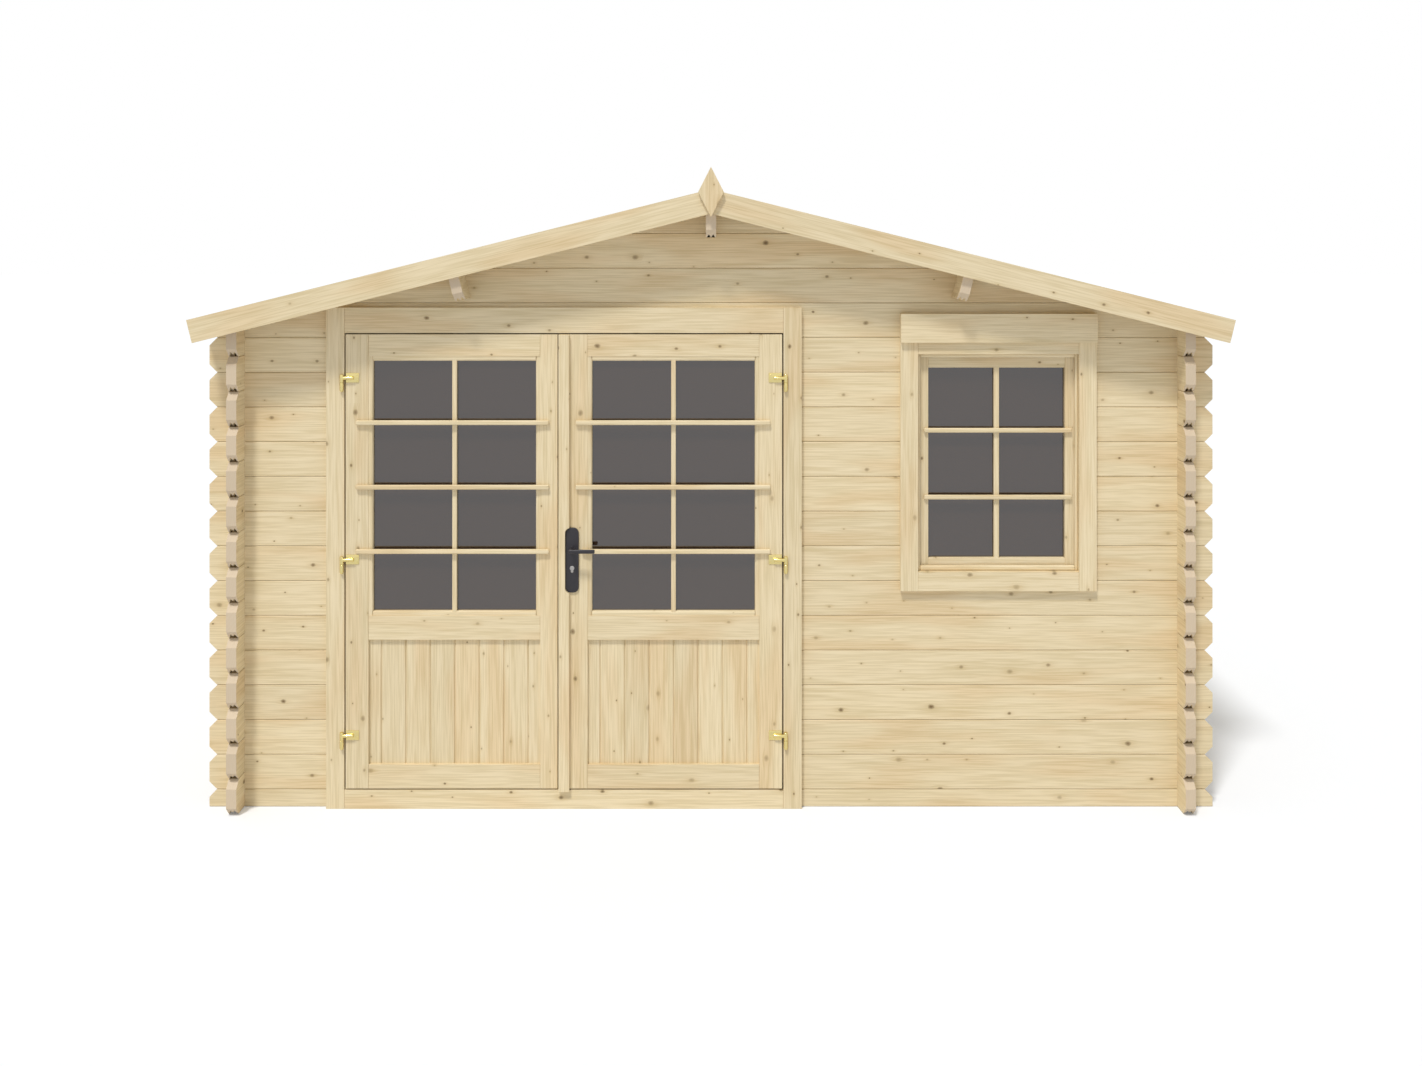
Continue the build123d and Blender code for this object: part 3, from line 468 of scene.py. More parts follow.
for side, light_middle in LIGHT_MIDDLES.items():
    middle_edge = (light_middle, EDGE, EDGE)
    stiles, rails, panel = (side + "_door_" + part for part in ("stiles", "rails", "panel"))
    dress(nodes[stiles], pine(stiles, "upright", middle_edge))
    dress(nodes[rails], pine(rails, "along_front", **RAIL_CELLS))
    boards = pine(panel, "upright", middle_edge, (PANEL_BOARD, WHOLE, WHOLE), joints=PANEL_SEAM_SHADE)
    dress(nodes[panel], boards)
strip_pine = pine("cover_strip", "upright")
dress(nodes["cover_strip"], strip_pine)
print("door leaves dressed,", batch, "pine materials")

# %% [markdown]
# Glass in a shed looks dark from outside, because little light comes back from the room.
# The pane is mostly see-through in real life. Here it is a smooth surface with a little
# transparency, whose dark, slightly warm colour is painted shade for the unlit room behind it;
# that gives the look from every side, and its gloss mirrors the pale studio.
# Brass and painted metal differ in one thing above all: brass is a bare metal and black paint
# is not, so one has Metallic at 1 and the other at 0. No finish is even, so the group fine_marks
# varies the roughness a little, and gives metal and paint a very slight relief.

# %% Glass, brass, black paint and steel
SPECKLE_RANGE = (0.3, 0.7)
MARK_STRENGTH = 0.3

fine_marks, given, result = new_group(
    "fine_marks",
    [("Position", "Vector"), ("Scale", "Float"), ("Smoothest", "Float"), ("Roughest", "Float")],
    [("Roughness", "Float"), ("Height", "Float")],
)
sockets = {"Vector": given["Position"], "Scale": given["Scale"], "Detail": 2.0}
speckle = add_node(fine_marks, "TexNoise", sockets).outputs[0]
rough = ramp(fine_marks, speckle, *SPECKLE_RANGE, given["Smoothest"], given["Roughest"])
fill(fine_marks, result, {"Roughness": rough, "Height": speckle})


def smooth_finish(name, look, scale, roughness, depth=0.0):
    """A smooth material with fine marks, and a bump where they have a depth."""
    smoothest, roughest = roughness
    material, tree, shader = new_material(name)
    place = add_node(tree, "TexCoord").outputs["Object"]
    sockets = {"Position": place, "Scale": scale, "Smoothest": smoothest, "Roughest": roughest}
    marks = add_node(tree, "Group", sockets, node_tree=fine_marks).outputs
    fill(tree, shader, {**look, "Roughness": marks["Roughness"]})
    if depth:
        sockets = {"Strength": MARK_STRENGTH, "Distance": depth, "Height": marks["Height"]}
        fill(tree, shader, {"Normal": add_node(tree, "Bump", sockets).outputs[0]})
    return material


# The dark colour of the glass is painted shade, for the unlit room behind the pane.
glass_look = {"Base Color": linear(52, 37, 26), "Alpha": 0.93, "IOR": 2.08}
brass_look = {"Base Color": linear(230, 212, 146), "Metallic": 1.0}
paint_look = {"Base Color": linear(40, 37, 42)}
steel_look = {"Base Color": linear(176, 172, 168), "Metallic": 1.0}
glass = smooth_finish("shed_glass", glass_look, scale=6.0, roughness=(0.06, 0.10))
brass = smooth_finish("hinge_brass", brass_look, scale=500.0, roughness=(0.15, 0.24), depth=0.000004)
black_paint = smooth_finish("handle_black", paint_look, scale=2400.0, roughness=(0.40, 0.50), depth=0.0001)
steel = smooth_finish("lock_steel", steel_look, scale=900.0, roughness=(0.28, 0.42), depth=0.000005)
for pane in ("left_door_glass", "right_door_glass", "window_glass"):
    dress(nodes[pane], glass)
print("made", glass.name, brass.name, black_paint.name, steel.name)

# %% [markdown]
# New pieces start as a bmesh. block makes a board from two opposite corners, rod makes a round
# bar, and finish_piece turns the bmesh into an object that rides on its body. A small bevel on
# every edge is what makes a board look planed: no real edge is perfectly sharp. soften gives
# every setting of the bevel, because the defaults of a script differ from the editor's.

# %% Modelling helpers
SMOOTH_BELOW = 35
NEAR = 1e-6


def edges_of(verts):
    """Every edge that touches one of these vertices, once."""
    return list({edge for vert in verts for edge in vert.link_edges})


def soften(shape, edges, width, segments):
    """Bevels some edges."""
    bmesh.ops.bevel(
        shape, geom=edges, offset=width, segments=segments, profile=0.5, affect="EDGES", material=-1
    )


def cube_between(shape, corner, opposite):
    """A cube that is pulled out to fill the space between two corners. Returns its vertices."""
    low, high = Vector(map(min, corner, opposite)), Vector(map(max, corner, opposite))
    verts = bmesh.ops.create_cube(shape, size=1.0)["verts"]
    bmesh.ops.scale(shape, vec=high - low, verts=verts)
    bmesh.ops.translate(shape, vec=(low + high) / 2, verts=verts)
    return verts


def block(shape, corner, opposite, bevel, segments=2):
    """A box between two corners, in metres, with all its edges bevelled."""
    soften(shape, edges_of(cube_between(shape, corner, opposite)), bevel, segments)


def rod(shape, start, end, radius, bevel=0.0, segments=32):
    """A round bar from start to end, its two rims bevelled."""
    start, end = Vector(start), Vector(end)
    length = (end - start).length
    made = bmesh.ops.create_cone(
        shape, cap_ends=True, segments=segments, radius1=radius, radius2=radius, depth=length
    )
    verts = made["verts"]
    turn = (end - start).to_track_quat("Z", "Y").to_matrix().to_4x4()
    bmesh.ops.transform(shape, matrix=Matrix.Translation((start + end) / 2) @ turn, verts=verts)
    if bevel:
        caps = {face for vert in verts for face in vert.link_faces if len(face.verts) > 4}
        soften(shape, list({edge for face in caps for edge in face.edges}), bevel, 3)


def extrude_face(shape, face, way):
    """Pulls a flat face out into a solid."""
    grown = bmesh.ops.extrude_face_region(shape, geom=[face], use_keep_orig=True)["geom"]
    moved = [item for item in grown if isinstance(item, bmesh.types.BMVert)]
    bmesh.ops.translate(shape, vec=way, verts=moved)


def make_object(shape, name, material):
    """Turns a bmesh into an object at the origin, with one material."""
    mesh = bpy.data.meshes.new(name)
    shape.to_mesh(mesh)
    shape.free()
    made = bpy.data.objects.new(name, mesh)
    bpy.context.scene.collection.objects.link(made)
    dress(made, material)
    return made


def finish_piece(shape, name, body, material, replaced=(), smooth=False):
    """Makes an object that rides on a body, and may stand for CAD nodes."""
    bmesh.ops.recalc_face_normals(shape, faces=shape.faces)
    piece = make_object(shape, name, material)
    if smooth:
        piece.data.shade_smooth()
        piece.data.set_sharp_from_angle(angle=math.radians(SMOOTH_BELOW))
    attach(piece, body)
    if replaced:
        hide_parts(*replaced)
    print(name, len(piece.data.polygons), "faces")


def finish_joinery(shape, name, body, grain, replaced=(), **look):
    """Finishes a piece of planed pine. Thin strips are cut from clear wood, with small knots."""
    wood = pine(name, grain, **{"knot_size": SMALL_KNOTS, **look})
    finish_piece(shape, name, body, wood, replaced)


# %% [markdown]
# At the end of every log the two grooves of its underside stay open for a few centimetres, and
# then the tongues of the log below fill them. Seen from the end, that gives a pair of dark teeth
# at every seam. Each tongue end is a thin wedge that starts behind the 45 degree cut.

# %% Tongue ends at the corners
TEETH = (-0.0092, 0.0092)
TOOTH_HALF = 0.0072
TOOTH_TOP = 0.0165
TOOTH_START = 0.049
TOOTH_LENGTH = 0.045
SIDE_SEAMS = [course * LOG_HEIGHT for course in range(1, 14)]
FRONT_SEAMS = [(course + 0.5) * LOG_HEIGHT for course in range(13)]


def tongue_ends(shape, tip, outward, along, seams):
    """Two wedges on every seam of one log end, whose tip is given at the middle of the log."""
    for seam in seams:
        start = tip - outward * TOOTH_START + Vector((0, 0, seam))
        for tooth in TEETH:
            profile = ((tooth - TOOTH_HALF, 0.0), (tooth + TOOTH_HALF, 0.0), (tooth, TOOTH_TOP))
            corners = [shape.verts.new(start + along * side + Vector((0, 0, up))) for side, up in profile]
            extrude_face(shape, shape.faces.new(corners), -outward * TOOTH_LENGTH)


x_way, y_way = Vector((1, 0, 0)), Vector((0, 1, 0))
side_teeth = bmesh.new()
for wall in ("left_wall_odd_logs", "right_wall_odd_logs"):
    low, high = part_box(wall)
    middle = (low.x + high.x) / 2
    tongue_ends(side_teeth, Vector((middle, low.y, 0)), -y_way, x_way, SIDE_SEAMS)
    tongue_ends(side_teeth, Vector((middle, high.y, 0)), y_way, x_way, SIDE_SEAMS)
finish_piece(side_teeth, "side_log_tongue_ends", "cabin", side_logs)

front_teeth = bmesh.new()
left_tip, right_tip = (corner.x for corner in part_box("back_wall_odd_logs"))
for wall in ("front_wall_left_odd_logs", "back_wall_odd_logs"):
    low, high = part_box(wall)
    middle = (low.y + high.y) / 2
    tongue_ends(front_teeth, Vector((left_tip, middle, 0)), -x_way, y_way, FRONT_SEAMS)
    tongue_ends(front_teeth, Vector((right_tip, middle, 0)), x_way, y_way, FRONT_SEAMS)
finish_piece(front_teeth, "front_log_tongue_ends", "cabin", back_logs)

# %% [markdown]
# Each light has an upright bar that lies between the beads, and three level bars that lie over
# the stiles as well, so a lattice seems to be clipped onto the door. The level bars are rounded
# in front. The lowest bar of the right leaf stops short of the handle plate.

# %% Glazing bars of the doors
BAR_HEIGHTS = (1.529, 1.274, 1.020)
BAR_HALF = 0.0093
BAR_PROUD = 0.015
BAR_ROUNDING = 0.005
UPRIGHT_BAR_DEPTH = 0.017
UPRIGHT_BAR_INSET = 0.010
BAR_ENDS = {"left": (-1.404, -0.640), "right": (-0.535, 0.235)}
END_BESIDE_HANDLE = -0.512
UPRIGHT_ROUNDING = 0.003
BAR_CELLS = {"first_edge": (EDGE, EDGE, 0.15), "board_size": (WHOLE, WHOLE, 0.25)}


def upright_bar(middle, half, pane_y, depth, foot, top):
    """An upright bar on a pane, between two heights."""
    bar = bmesh.new()
    block(bar, (middle - half, pane_y - depth, foot), (middle + half, pane_y, top), UPRIGHT_ROUNDING)
    return bar


def level_bar(shape, left, right, face_y, proud, height):
    """A level bar in front of a face, between two ends."""
    block(
        shape, (left, face_y - proud, height - BAR_HALF), (right, face_y, height + BAR_HALF), BAR_ROUNDING, 3
    )


leaf_front, leaf_back = (corner.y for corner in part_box("left_door_stiles"))
door_glass_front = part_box("left_door_glass")[0].y
for side, (bar_left, bar_right) in BAR_ENDS.items():
    low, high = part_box(side + "_door_beads")
    middle = (low.x + high.x) / 2
    foot, top = low.z + UPRIGHT_BAR_INSET, high.z - UPRIGHT_BAR_INSET
    upright = upright_bar(middle, BAR_HALF, door_glass_front, UPRIGHT_BAR_DEPTH, foot, top)
    finish_joinery(upright, side + "_door_upright_bar", side + "_door", "upright")

    level = bmesh.new()
    for height in BAR_HEIGHTS:
        beside_handle = side == "right" and height == min(BAR_HEIGHTS)
        left = END_BESIDE_HANDLE if beside_handle else bar_left
        level_bar(level, left, bar_right, leaf_front, BAR_PROUD, height)
    finish_joinery(level, side + "_door_level_bars", side + "_door", "along_front", **BAR_CELLS)

# %% [markdown]
# A glazing bead is a thin strip that presses a pane into its rebate. Its inner front edge is cut
# at an angle, so that rain runs off and light catches it. The uprights run the whole height and
# the level strips fit between them, each with its grain along its own length.

# %% Glazing beads of the doors
BEAD_WIDTH = 0.018
BEAD_SLANT = 0.008


def bead_frame(uprights, levels, low, high, face_y, back_y):
    """Four strips round an opening, with the inner edge of the strip's face cut at a slant."""
    left, right = low.x + BEAD_WIDTH, high.x - BEAD_WIDTH
    foot, top = low.z + BEAD_WIDTH, high.z - BEAD_WIDTH
    for shape, axis, inner, start, end in (
        (uprights, 0, left, (low.x, low.z), (left, high.z)),
        (uprights, 0, right, (right, low.z), (high.x, high.z)),
        (levels, 2, foot, (left, low.z), (right, foot)),
        (levels, 2, top, (left, top), (right, high.z)),
    ):
        verts = cube_between(shape, (start[0], face_y, start[1]), (end[0], back_y, end[1]))
        slanted = [
            edge
            for edge in edges_of(verts)
            if all(abs(v.co.y - face_y) < NEAR and abs(v.co[axis] - inner) < NEAR for v in edge.verts)
        ]
        soften(shape, slanted, BEAD_SLANT, 3)


for side in ("left", "right"):
    low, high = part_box(side + "_door_beads")
    pane_low, pane_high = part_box(side + "_door_glass")
    uprights, levels = bmesh.new(), bmesh.new()
    bead_frame(uprights, levels, low, high, low.y, pane_low.y)
    bead_frame(uprights, levels, low, high, high.y, pane_high.y)
    body, replaced = side + "_door", [side + "_door_beads"]
    finish_joinery(uprights, side + "_door_upright_beads", body, "upright", replaced)
    finish_joinery(levels, side + "_door_level_beads", body, "along_front")

# %% [markdown]
# The window's sash is four boards round the pane, and its stiles run past the rails. Round it,
# a rounded moulding covers the joint to the casing. Both are a single node in the CAD frame, and
# they are parted here into uprights and levels, so that the grain can follow each board.

# %% Sash and mouldings of the window
SASH_BACK = 0.008
SASH_STILE, SASH_TOP_RAIL = 0.047, 0.057
SASH_KNOTS = 0.7
SASH_ROUNDINGS = (0.0012, 0.0012, 0.0012)
MOULDING_SIDE, MOULDING_FOOT, MOULDING_TOP = 0.011, 0.021, 0.015
MOULDING_ROUNDINGS = (0.004, 0.006, 0.005)


def window_frame(low, high, widths, roundings, segments):
    """Two uprights, and a foot and a top strip between them, each with its width and rounding."""
    uprights, levels = bmesh.new(), bmesh.new()
    side_width, foot_width, top_width = widths
    side_round, foot_round, top_round = roundings
    left, right = low.x + side_width, high.x - side_width
    block(uprights, low, (left, high.y, high.z), side_round, segments[0])
    block(uprights, (right, low.y, low.z), high, side_round, segments[0])
    block(levels, (left, low.y, low.z), (right, high.y, low.z + foot_width), foot_round, segments[1])
    block(levels, (left, low.y, high.z - top_width), (right, high.y, high.z), top_round, segments[1])
    return uprights, levels


low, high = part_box("window_sash")
low.y += SASH_BACK
sash_front = low.y
widths = (SASH_STILE, SASH_STILE, SASH_TOP_RAIL)
uprights, levels = window_frame(low, high, widths, SASH_ROUNDINGS, (1, 1))
look = {"first_edge": window_sides, "knot_size": SASH_KNOTS}
finish_joinery(uprights, "window_sash_stiles", "cabin", "upright", ["window_sash"], **look)
look = {"first_edge": window_levels, "knot_size": SASH_KNOTS}
finish_joinery(levels, "window_sash_rails", "cabin", "along_front", **look)

low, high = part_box("window_beads")
widths = (MOULDING_SIDE, MOULDING_FOOT, MOULDING_TOP)
uprights, levels = window_frame(low, high, widths, MOULDING_ROUNDINGS, (3, 4))
finish_joinery(uprights, "window_upright_mouldings", "cabin", "upright", ["window_beads"])
finish_joinery(levels, "window_level_mouldings", "cabin", "along_front")

# %% [markdown]
# The window has the same lattice as the doors: one upright bar on the pane and two level bars
# in front of it, which end on the sash.

# %% Glazing bars of the window
WINDOW_BAR_HEIGHTS = (1.493, 1.227)
WINDOW_BAR_LEFT, WINDOW_BAR_RIGHT = 0.847, 1.436
WINDOW_UPRIGHT_FOOT, WINDOW_UPRIGHT_TOP = 0.976, 1.750
WINDOW_UPRIGHT_HALF, WINDOW_UPRIGHT_DEPTH = 0.0105, 0.018
WINDOW_BAR_PROUD = 0.013
WINDOW_BAR_CELLS = {"first_edge": (EDGE, EDGE, 0.1), "board_size": (WHOLE, WHOLE, 0.3)}

pane_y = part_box("window_glass")[0].y
heights = (WINDOW_UPRIGHT_FOOT, WINDOW_UPRIGHT_TOP)
upright = upright_bar(WINDOW_MIDDLE, WINDOW_UPRIGHT_HALF, pane_y, WINDOW_UPRIGHT_DEPTH, *heights)
finish_joinery(upright, "window_upright_bar", "cabin", "upright")

level = bmesh.new()
for height in WINDOW_BAR_HEIGHTS:
    level_bar(level, WINDOW_BAR_LEFT, WINDOW_BAR_RIGHT, sash_front, WINDOW_BAR_PROUD, height)
finish_joinery(level, "window_level_bars", "cabin", "along_front", **WINDOW_BAR_CELLS)

# %% [markdown]
# The roof is laid with narrow boards that run from the ridge down to the eaves. The CAD frame
# keeps one slab for each slope. Here each slab is parted into its boards, with a fine open joint
# between two neighbours. The boards are made flat at the ridge, turned down by the slope, and
# cut upright where the two slopes meet.

# %% Roof boards
ROOF_PLANKS = 29
ROOF_THICKNESS = 0.018
RIDGE_UNDERSIDE = 2.414
JOINT = 0.0012
BOARD_EDGE = 0.0015


def plank_edges(low_y, high_y, count):
    """The two edges of every plank between two depths, with a joint from each to the next."""
    width = (high_y - low_y) / count
    for number in range(count):
        near_edge = low_y + number * width
        yield near_edge + JOINT / 2, near_edge + width - JOINT / 2


for side, direction in (("left", -1), ("right", 1)):
    low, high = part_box(side + "_roof_boards")
    outer_x = low.x if side == "left" else high.x
    length = outer_x / math.cos(math.radians(SLOPE))
    planks = bmesh.new()
    for near_edge, far_edge in plank_edges(low.y, high.y, ROOF_PLANKS):
        block(planks, (0.0, near_edge, 0.0), (length, far_edge, ROOF_THICKNESS), BOARD_EDGE, 1)
    turn = Matrix.Rotation(math.radians(direction * SLOPE), 4, "Y")
    lift = Matrix.Translation((0, 0, RIDGE_UNDERSIDE))
    bmesh.ops.transform(planks, matrix=lift @ turn, verts=planks.verts)
    everything = planks.verts[:] + planks.edges[:] + planks.faces[:]
    bmesh.ops.bisect_plane(planks, geom=everything, plane_no=(-direction, 0, 0), clear_outer=True)
    bmesh.ops.holes_fill(planks, edges=[edge for edge in planks.edges if edge.is_boundary], sides=0)
    board_size = (WHOLE, (high.y - low.y) / ROOF_PLANKS, WHOLE)
    wood = pine(side + "_roof_planks", "flat_along_front", (EDGE, low.y, EDGE), board_size)
    finish_piece(planks, side + "_roof_planks", "cabin", wood, [side + "_roof_boards"])

# %% [markdown]
# The floor is laid the same way, with boards that run from side wall to side wall.

# %% Floor boards
FLOOR_PLANKS = 24

low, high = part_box("floor_boards")
planks = bmesh.new()
for near_edge, far_edge in plank_edges(low.y, high.y, FLOOR_PLANKS):
    block(planks, (low.x, near_edge, low.z), (high.x, far_edge, high.z), BOARD_EDGE, 1)
board_size = (WHOLE, (high.y - low.y) / FLOOR_PLANKS, WHOLE)
wood = pine("floor_planks", "flat_along_front", (EDGE, low.y, EDGE), board_size)
finish_piece(planks, "floor_planks", "cabin", wood, ["floor_boards"])

# %% [markdown]
# Each brass hinge is a barrel in two halves on one pin. The lower half stays on the jamb and
# ends in a round knob. The upper half turns with the leaf, and a round arm joins it to a thin
# plate on the stile. Heights are measured from the middle of the arm, and lengths from the pin.

# %% Hinges
HINGE_HEIGHTS = (0.291, 0.986, 1.705)
HINGE_PINS = {"left": (-1.4595, 1), "right": (0.2955, -1)}
PIN_PROUD = 0.008
BARREL_RADIUS = 0.0075
BARREL_TOP, BARREL_SPLIT, BARREL_FOOT = 0.014, -0.018, -0.050
BARREL_GAP = 0.0003
LOWER_ROUNDING, UPPER_ROUNDING = 0.0012, 0.0016
KNOB_RADIUS, KNOB_TOP, KNOB_FOOT, KNOB_ROUNDING = 0.0060, -0.049, -0.054, 0.0022
PIN_RADIUS, PIN_TOP, PIN_FOOT = 0.0026, 0.002, -0.022
LUG_HALF, LUG_TOP, LUG_FOOT = 0.0037, -0.0205, -0.048
ARM_RADIUS, ARM_END = 0.0073, 0.0470
HINGE_PLATE_START, HINGE_PLATE_END = 0.0155, 0.0670
HINGE_PLATE_FOOT, HINGE_PLATE_TOP = -0.018, 0.0195
HINGE_PLATE_THICK, HINGE_PLATE_ROUNDING = 0.003, 0.0010
SCREW_PLACE = 0.060
SCREW_HEIGHTS = (0.011, -0.011)
SCREW_RADIUS, SCREW_PROUD, SCREW_DEPTH, SCREW_ROUNDING = 0.0030, 0.0012, 0.0022, 0.0008

pin_y = leaf_front - PIN_PROUD
plate_y = leaf_front - HINGE_PLATE_THICK


def upright_rod(shape, pin_x, foot, top, radius, rounding=0.0):
    """A round bar on the line of the pin, between two heights."""
    rod(shape, (pin_x, pin_y, foot), (pin_x, pin_y, top), radius, rounding)


def lower_hinge(shape, pin_x, height):
    """The half on the jamb: barrel, knob, pin, and the lug that goes back to the wood."""
    split = height + BARREL_SPLIT - BARREL_GAP
    upright_rod(shape, pin_x, height + BARREL_FOOT, split, BARREL_RADIUS, LOWER_ROUNDING)
    upright_rod(shape, pin_x, height + KNOB_FOOT, height + KNOB_TOP, KNOB_RADIUS, KNOB_ROUNDING)
    upright_rod(shape, pin_x, height + PIN_FOOT, height + PIN_TOP, PIN_RADIUS)
    lug_foot = (pin_x - LUG_HALF, pin_y, height + LUG_FOOT)
    block(shape, lug_foot, (pin_x + LUG_HALF, leaf_front, height + LUG_TOP), LOWER_ROUNDING)


def upper_hinge(shape, pin_x, inward, height):
    """The half on the leaf: barrel, arm, plate and two flat screws."""
    split, top = height + BARREL_SPLIT, height + BARREL_TOP
    upright_rod(shape, pin_x, split, top, BARREL_RADIUS, UPPER_ROUNDING)
    arm_end = (pin_x + inward * ARM_END, pin_y, height)
    rod(shape, (pin_x, pin_y, height), arm_end, ARM_RADIUS, UPPER_ROUNDING)
    plate_start = (pin_x + inward * HINGE_PLATE_START, plate_y, height + HINGE_PLATE_FOOT)
    plate_end = (pin_x + inward * HINGE_PLATE_END, leaf_front, height + HINGE_PLATE_TOP)
    block(shape, plate_start, plate_end, HINGE_PLATE_ROUNDING)
    for screw_height in SCREW_HEIGHTS:
        head = Vector((pin_x + inward * SCREW_PLACE, plate_y - SCREW_PROUD, height + screw_height))
        rod(shape, head, head + Vector((0, SCREW_DEPTH, 0)), SCREW_RADIUS, SCREW_ROUNDING, 16)


jamb_pins = bmesh.new()
for side, (pin_x, inward) in HINGE_PINS.items():
    hinges = bmesh.new()
    for height in HINGE_HEIGHTS:
        lower_hinge(jamb_pins, pin_x, height)
        upper_hinge(hinges, pin_x, inward, height)
    name, replaced = side + "_door_hinges_round", [side + "_door_hinges"]
    finish_piece(hinges, name, side + "_door", brass, replaced, smooth=True)
finish_piece(jamb_pins, "jamb_hinge_pins_round", "cabin", brass, ["jamb_hinge_pins"], smooth=True)

# %% [markdown]
# The lock side of the right leaf carries a long plate with rounded ends on each face, and beside
# it a strip covers the joint between the leaves. The strip is cut back to the outline of the
# plate, one millimetre wider, so that the plate lies in it. Its face is drawn as one outline
# with two arcs, and pulled back to the leaf.

# %% Cover strip with the bite for the plate
HANDLE_X = -0.549
PLATE_HALF = 0.026
PLATE_FOOT, PLATE_TOP = 0.857, 1.113
PLATE_CORNER = 0.021
BITE_GAP = 0.001
ARC_END, ARC_STEP = 104, 7


def bite_arc(corner_z, angles):
    """Points on a round corner of the bite, at some angles in degrees."""
    corner_x = HANDLE_X - PLATE_HALF - BITE_GAP + PLATE_CORNER
    turns = [math.radians(angle) for angle in angles]
    return [(corner_x + PLATE_CORNER * math.cos(t), corner_z + PLATE_CORNER * math.sin(t)) for t in turns]


low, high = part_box("cover_strip")
lower_arc = bite_arc(PLATE_FOOT - BITE_GAP + PLATE_CORNER, range(-ARC_END, -181, -ARC_STEP))
upper_arc = bite_arc(PLATE_TOP + BITE_GAP - PLATE_CORNER, range(180, ARC_END - 1, -ARC_STEP))
outline = [(low.x, low.z), (high.x, low.z), (high.x, lower_arc[0][1])]
outline += lower_arc + upper_arc
outline += [(high.x, upper_arc[-1][1]), (high.x, high.z), (low.x, high.z)]
strip = bmesh.new()
face = strip.faces.new([strip.verts.new((x, low.y, z)) for x, z in outline])
extrude_face(strip, face, Vector((0, leaf_front - low.y, 0)))
rims = [edge for edge in strip.edges if all(abs(v.co.y - low.y) < NEAR for v in edge.verts)]
soften(strip, rims, BOARD_EDGE, 2)
finish_piece(strip, "cover_strip_cut", "right_door", strip_pine, ["cover_strip"])

# %% [markdown]
# The plate starts as a slab whose four corner edges are bevelled by nearly half of its width,
# which rounds the ends in one step. Then the rim of its face is softened.

# %% Handle plates
PLATE_THICK = 0.008
PLATE_RIM = 0.0028
PLATE_CORNER_SEGMENTS = 10


def long_plate(leaf_face, outward):
    """A plate on one face of the leaf, with round ends and softened rims."""
    shape = bmesh.new()
    face_y = leaf_face + outward * PLATE_THICK
    foot, top = (HANDLE_X - PLATE_HALF, face_y, PLATE_FOOT), (HANDLE_X + PLATE_HALF, leaf_face, PLATE_TOP)
    edges = edges_of(cube_between(shape, foot, top))
    corners = [edge for edge in edges if abs(edge.verts[0].co.y - edge.verts[1].co.y) > PLATE_THICK / 2]
    soften(shape, corners, PLATE_CORNER, PLATE_CORNER_SEGMENTS)
    faces = [face for face in shape.faces if abs(face.calc_center_median().y - face_y) < NEAR]
    soften(shape, list({edge for face in faces for edge in face.edges}), PLATE_RIM, 3)
    return shape


front_plate, back_plate = long_plate(leaf_front, -1), long_plate(leaf_back, 1)
finish_piece(front_plate, "front_handle_plate", "right_door", black_paint, ["handle_plates"], True)
finish_piece(back_plate, "back_handle_plate", "right_door", black_paint, smooth=True)

# %% [markdown]
# The lever is the same on both faces, and one spindle makes the two turn together. Each is a
# neck, a collar on the plate, and a slim grip that points to the hinges. Below it sits the lock
# cylinder, round above and narrower below, which is how most door cylinders look from outside.

# %% Lever and lock cylinder
LEVER_Z = 1.030
NECK_START, NECK_END, NECK_RADIUS, NECK_ROUNDING = -0.006, 0.050, 0.0088, 0.0015
COLLAR_START, COLLAR_END, COLLAR_RADIUS, COLLAR_ROUNDING = 0.0002, 0.004, 0.0125, 0.0012
GRIP_BACK, GRIP_FRONT = 0.040, 0.053
GRIP_START, GRIP_END = -0.0095, 0.0930
GRIP_HALF, GRIP_ROUNDING = 0.0078, 0.0045
SPINDLE_RADIUS = 0.0045
KEY_Z = 0.954
CYLINDER_RADIUS, CYLINDER_ROUNDING = 0.0092, 0.0008
CYLINDER_PROUD = 0.0095
TAIL_TOP, TAIL_FOOT, TAIL_HALF, TAIL_ROUNDING = -0.004, -0.0205, 0.0076, 0.0065

lever = bmesh.new()
for face_y, outward in ((leaf_front, -1), (leaf_back, 1)):
    plate_face = face_y + outward * PLATE_THICK
    for start, end, radius, rounding in (
        (NECK_START, NECK_END, NECK_RADIUS, NECK_ROUNDING),
        (COLLAR_START, COLLAR_END, COLLAR_RADIUS, COLLAR_ROUNDING),
    ):
        inner = (HANDLE_X, plate_face + outward * start, LEVER_Z)
        outer = (HANDLE_X, plate_face + outward * end, LEVER_Z)
        rod(lever, inner, outer, radius, rounding)
    grip_start = (HANDLE_X + GRIP_START, plate_face + outward * GRIP_BACK, LEVER_Z - GRIP_HALF)
    grip_end = (HANDLE_X + GRIP_END, plate_face + outward * GRIP_FRONT, LEVER_Z + GRIP_HALF)
    block(lever, grip_start, grip_end, GRIP_ROUNDING, 4)
rod(lever, (HANDLE_X, leaf_front, LEVER_Z), (HANDLE_X, leaf_back, LEVER_Z), SPINDLE_RADIUS)
finish_piece(lever, "lever_handle_round", "lever", black_paint, ["lever_handle"], smooth=True)

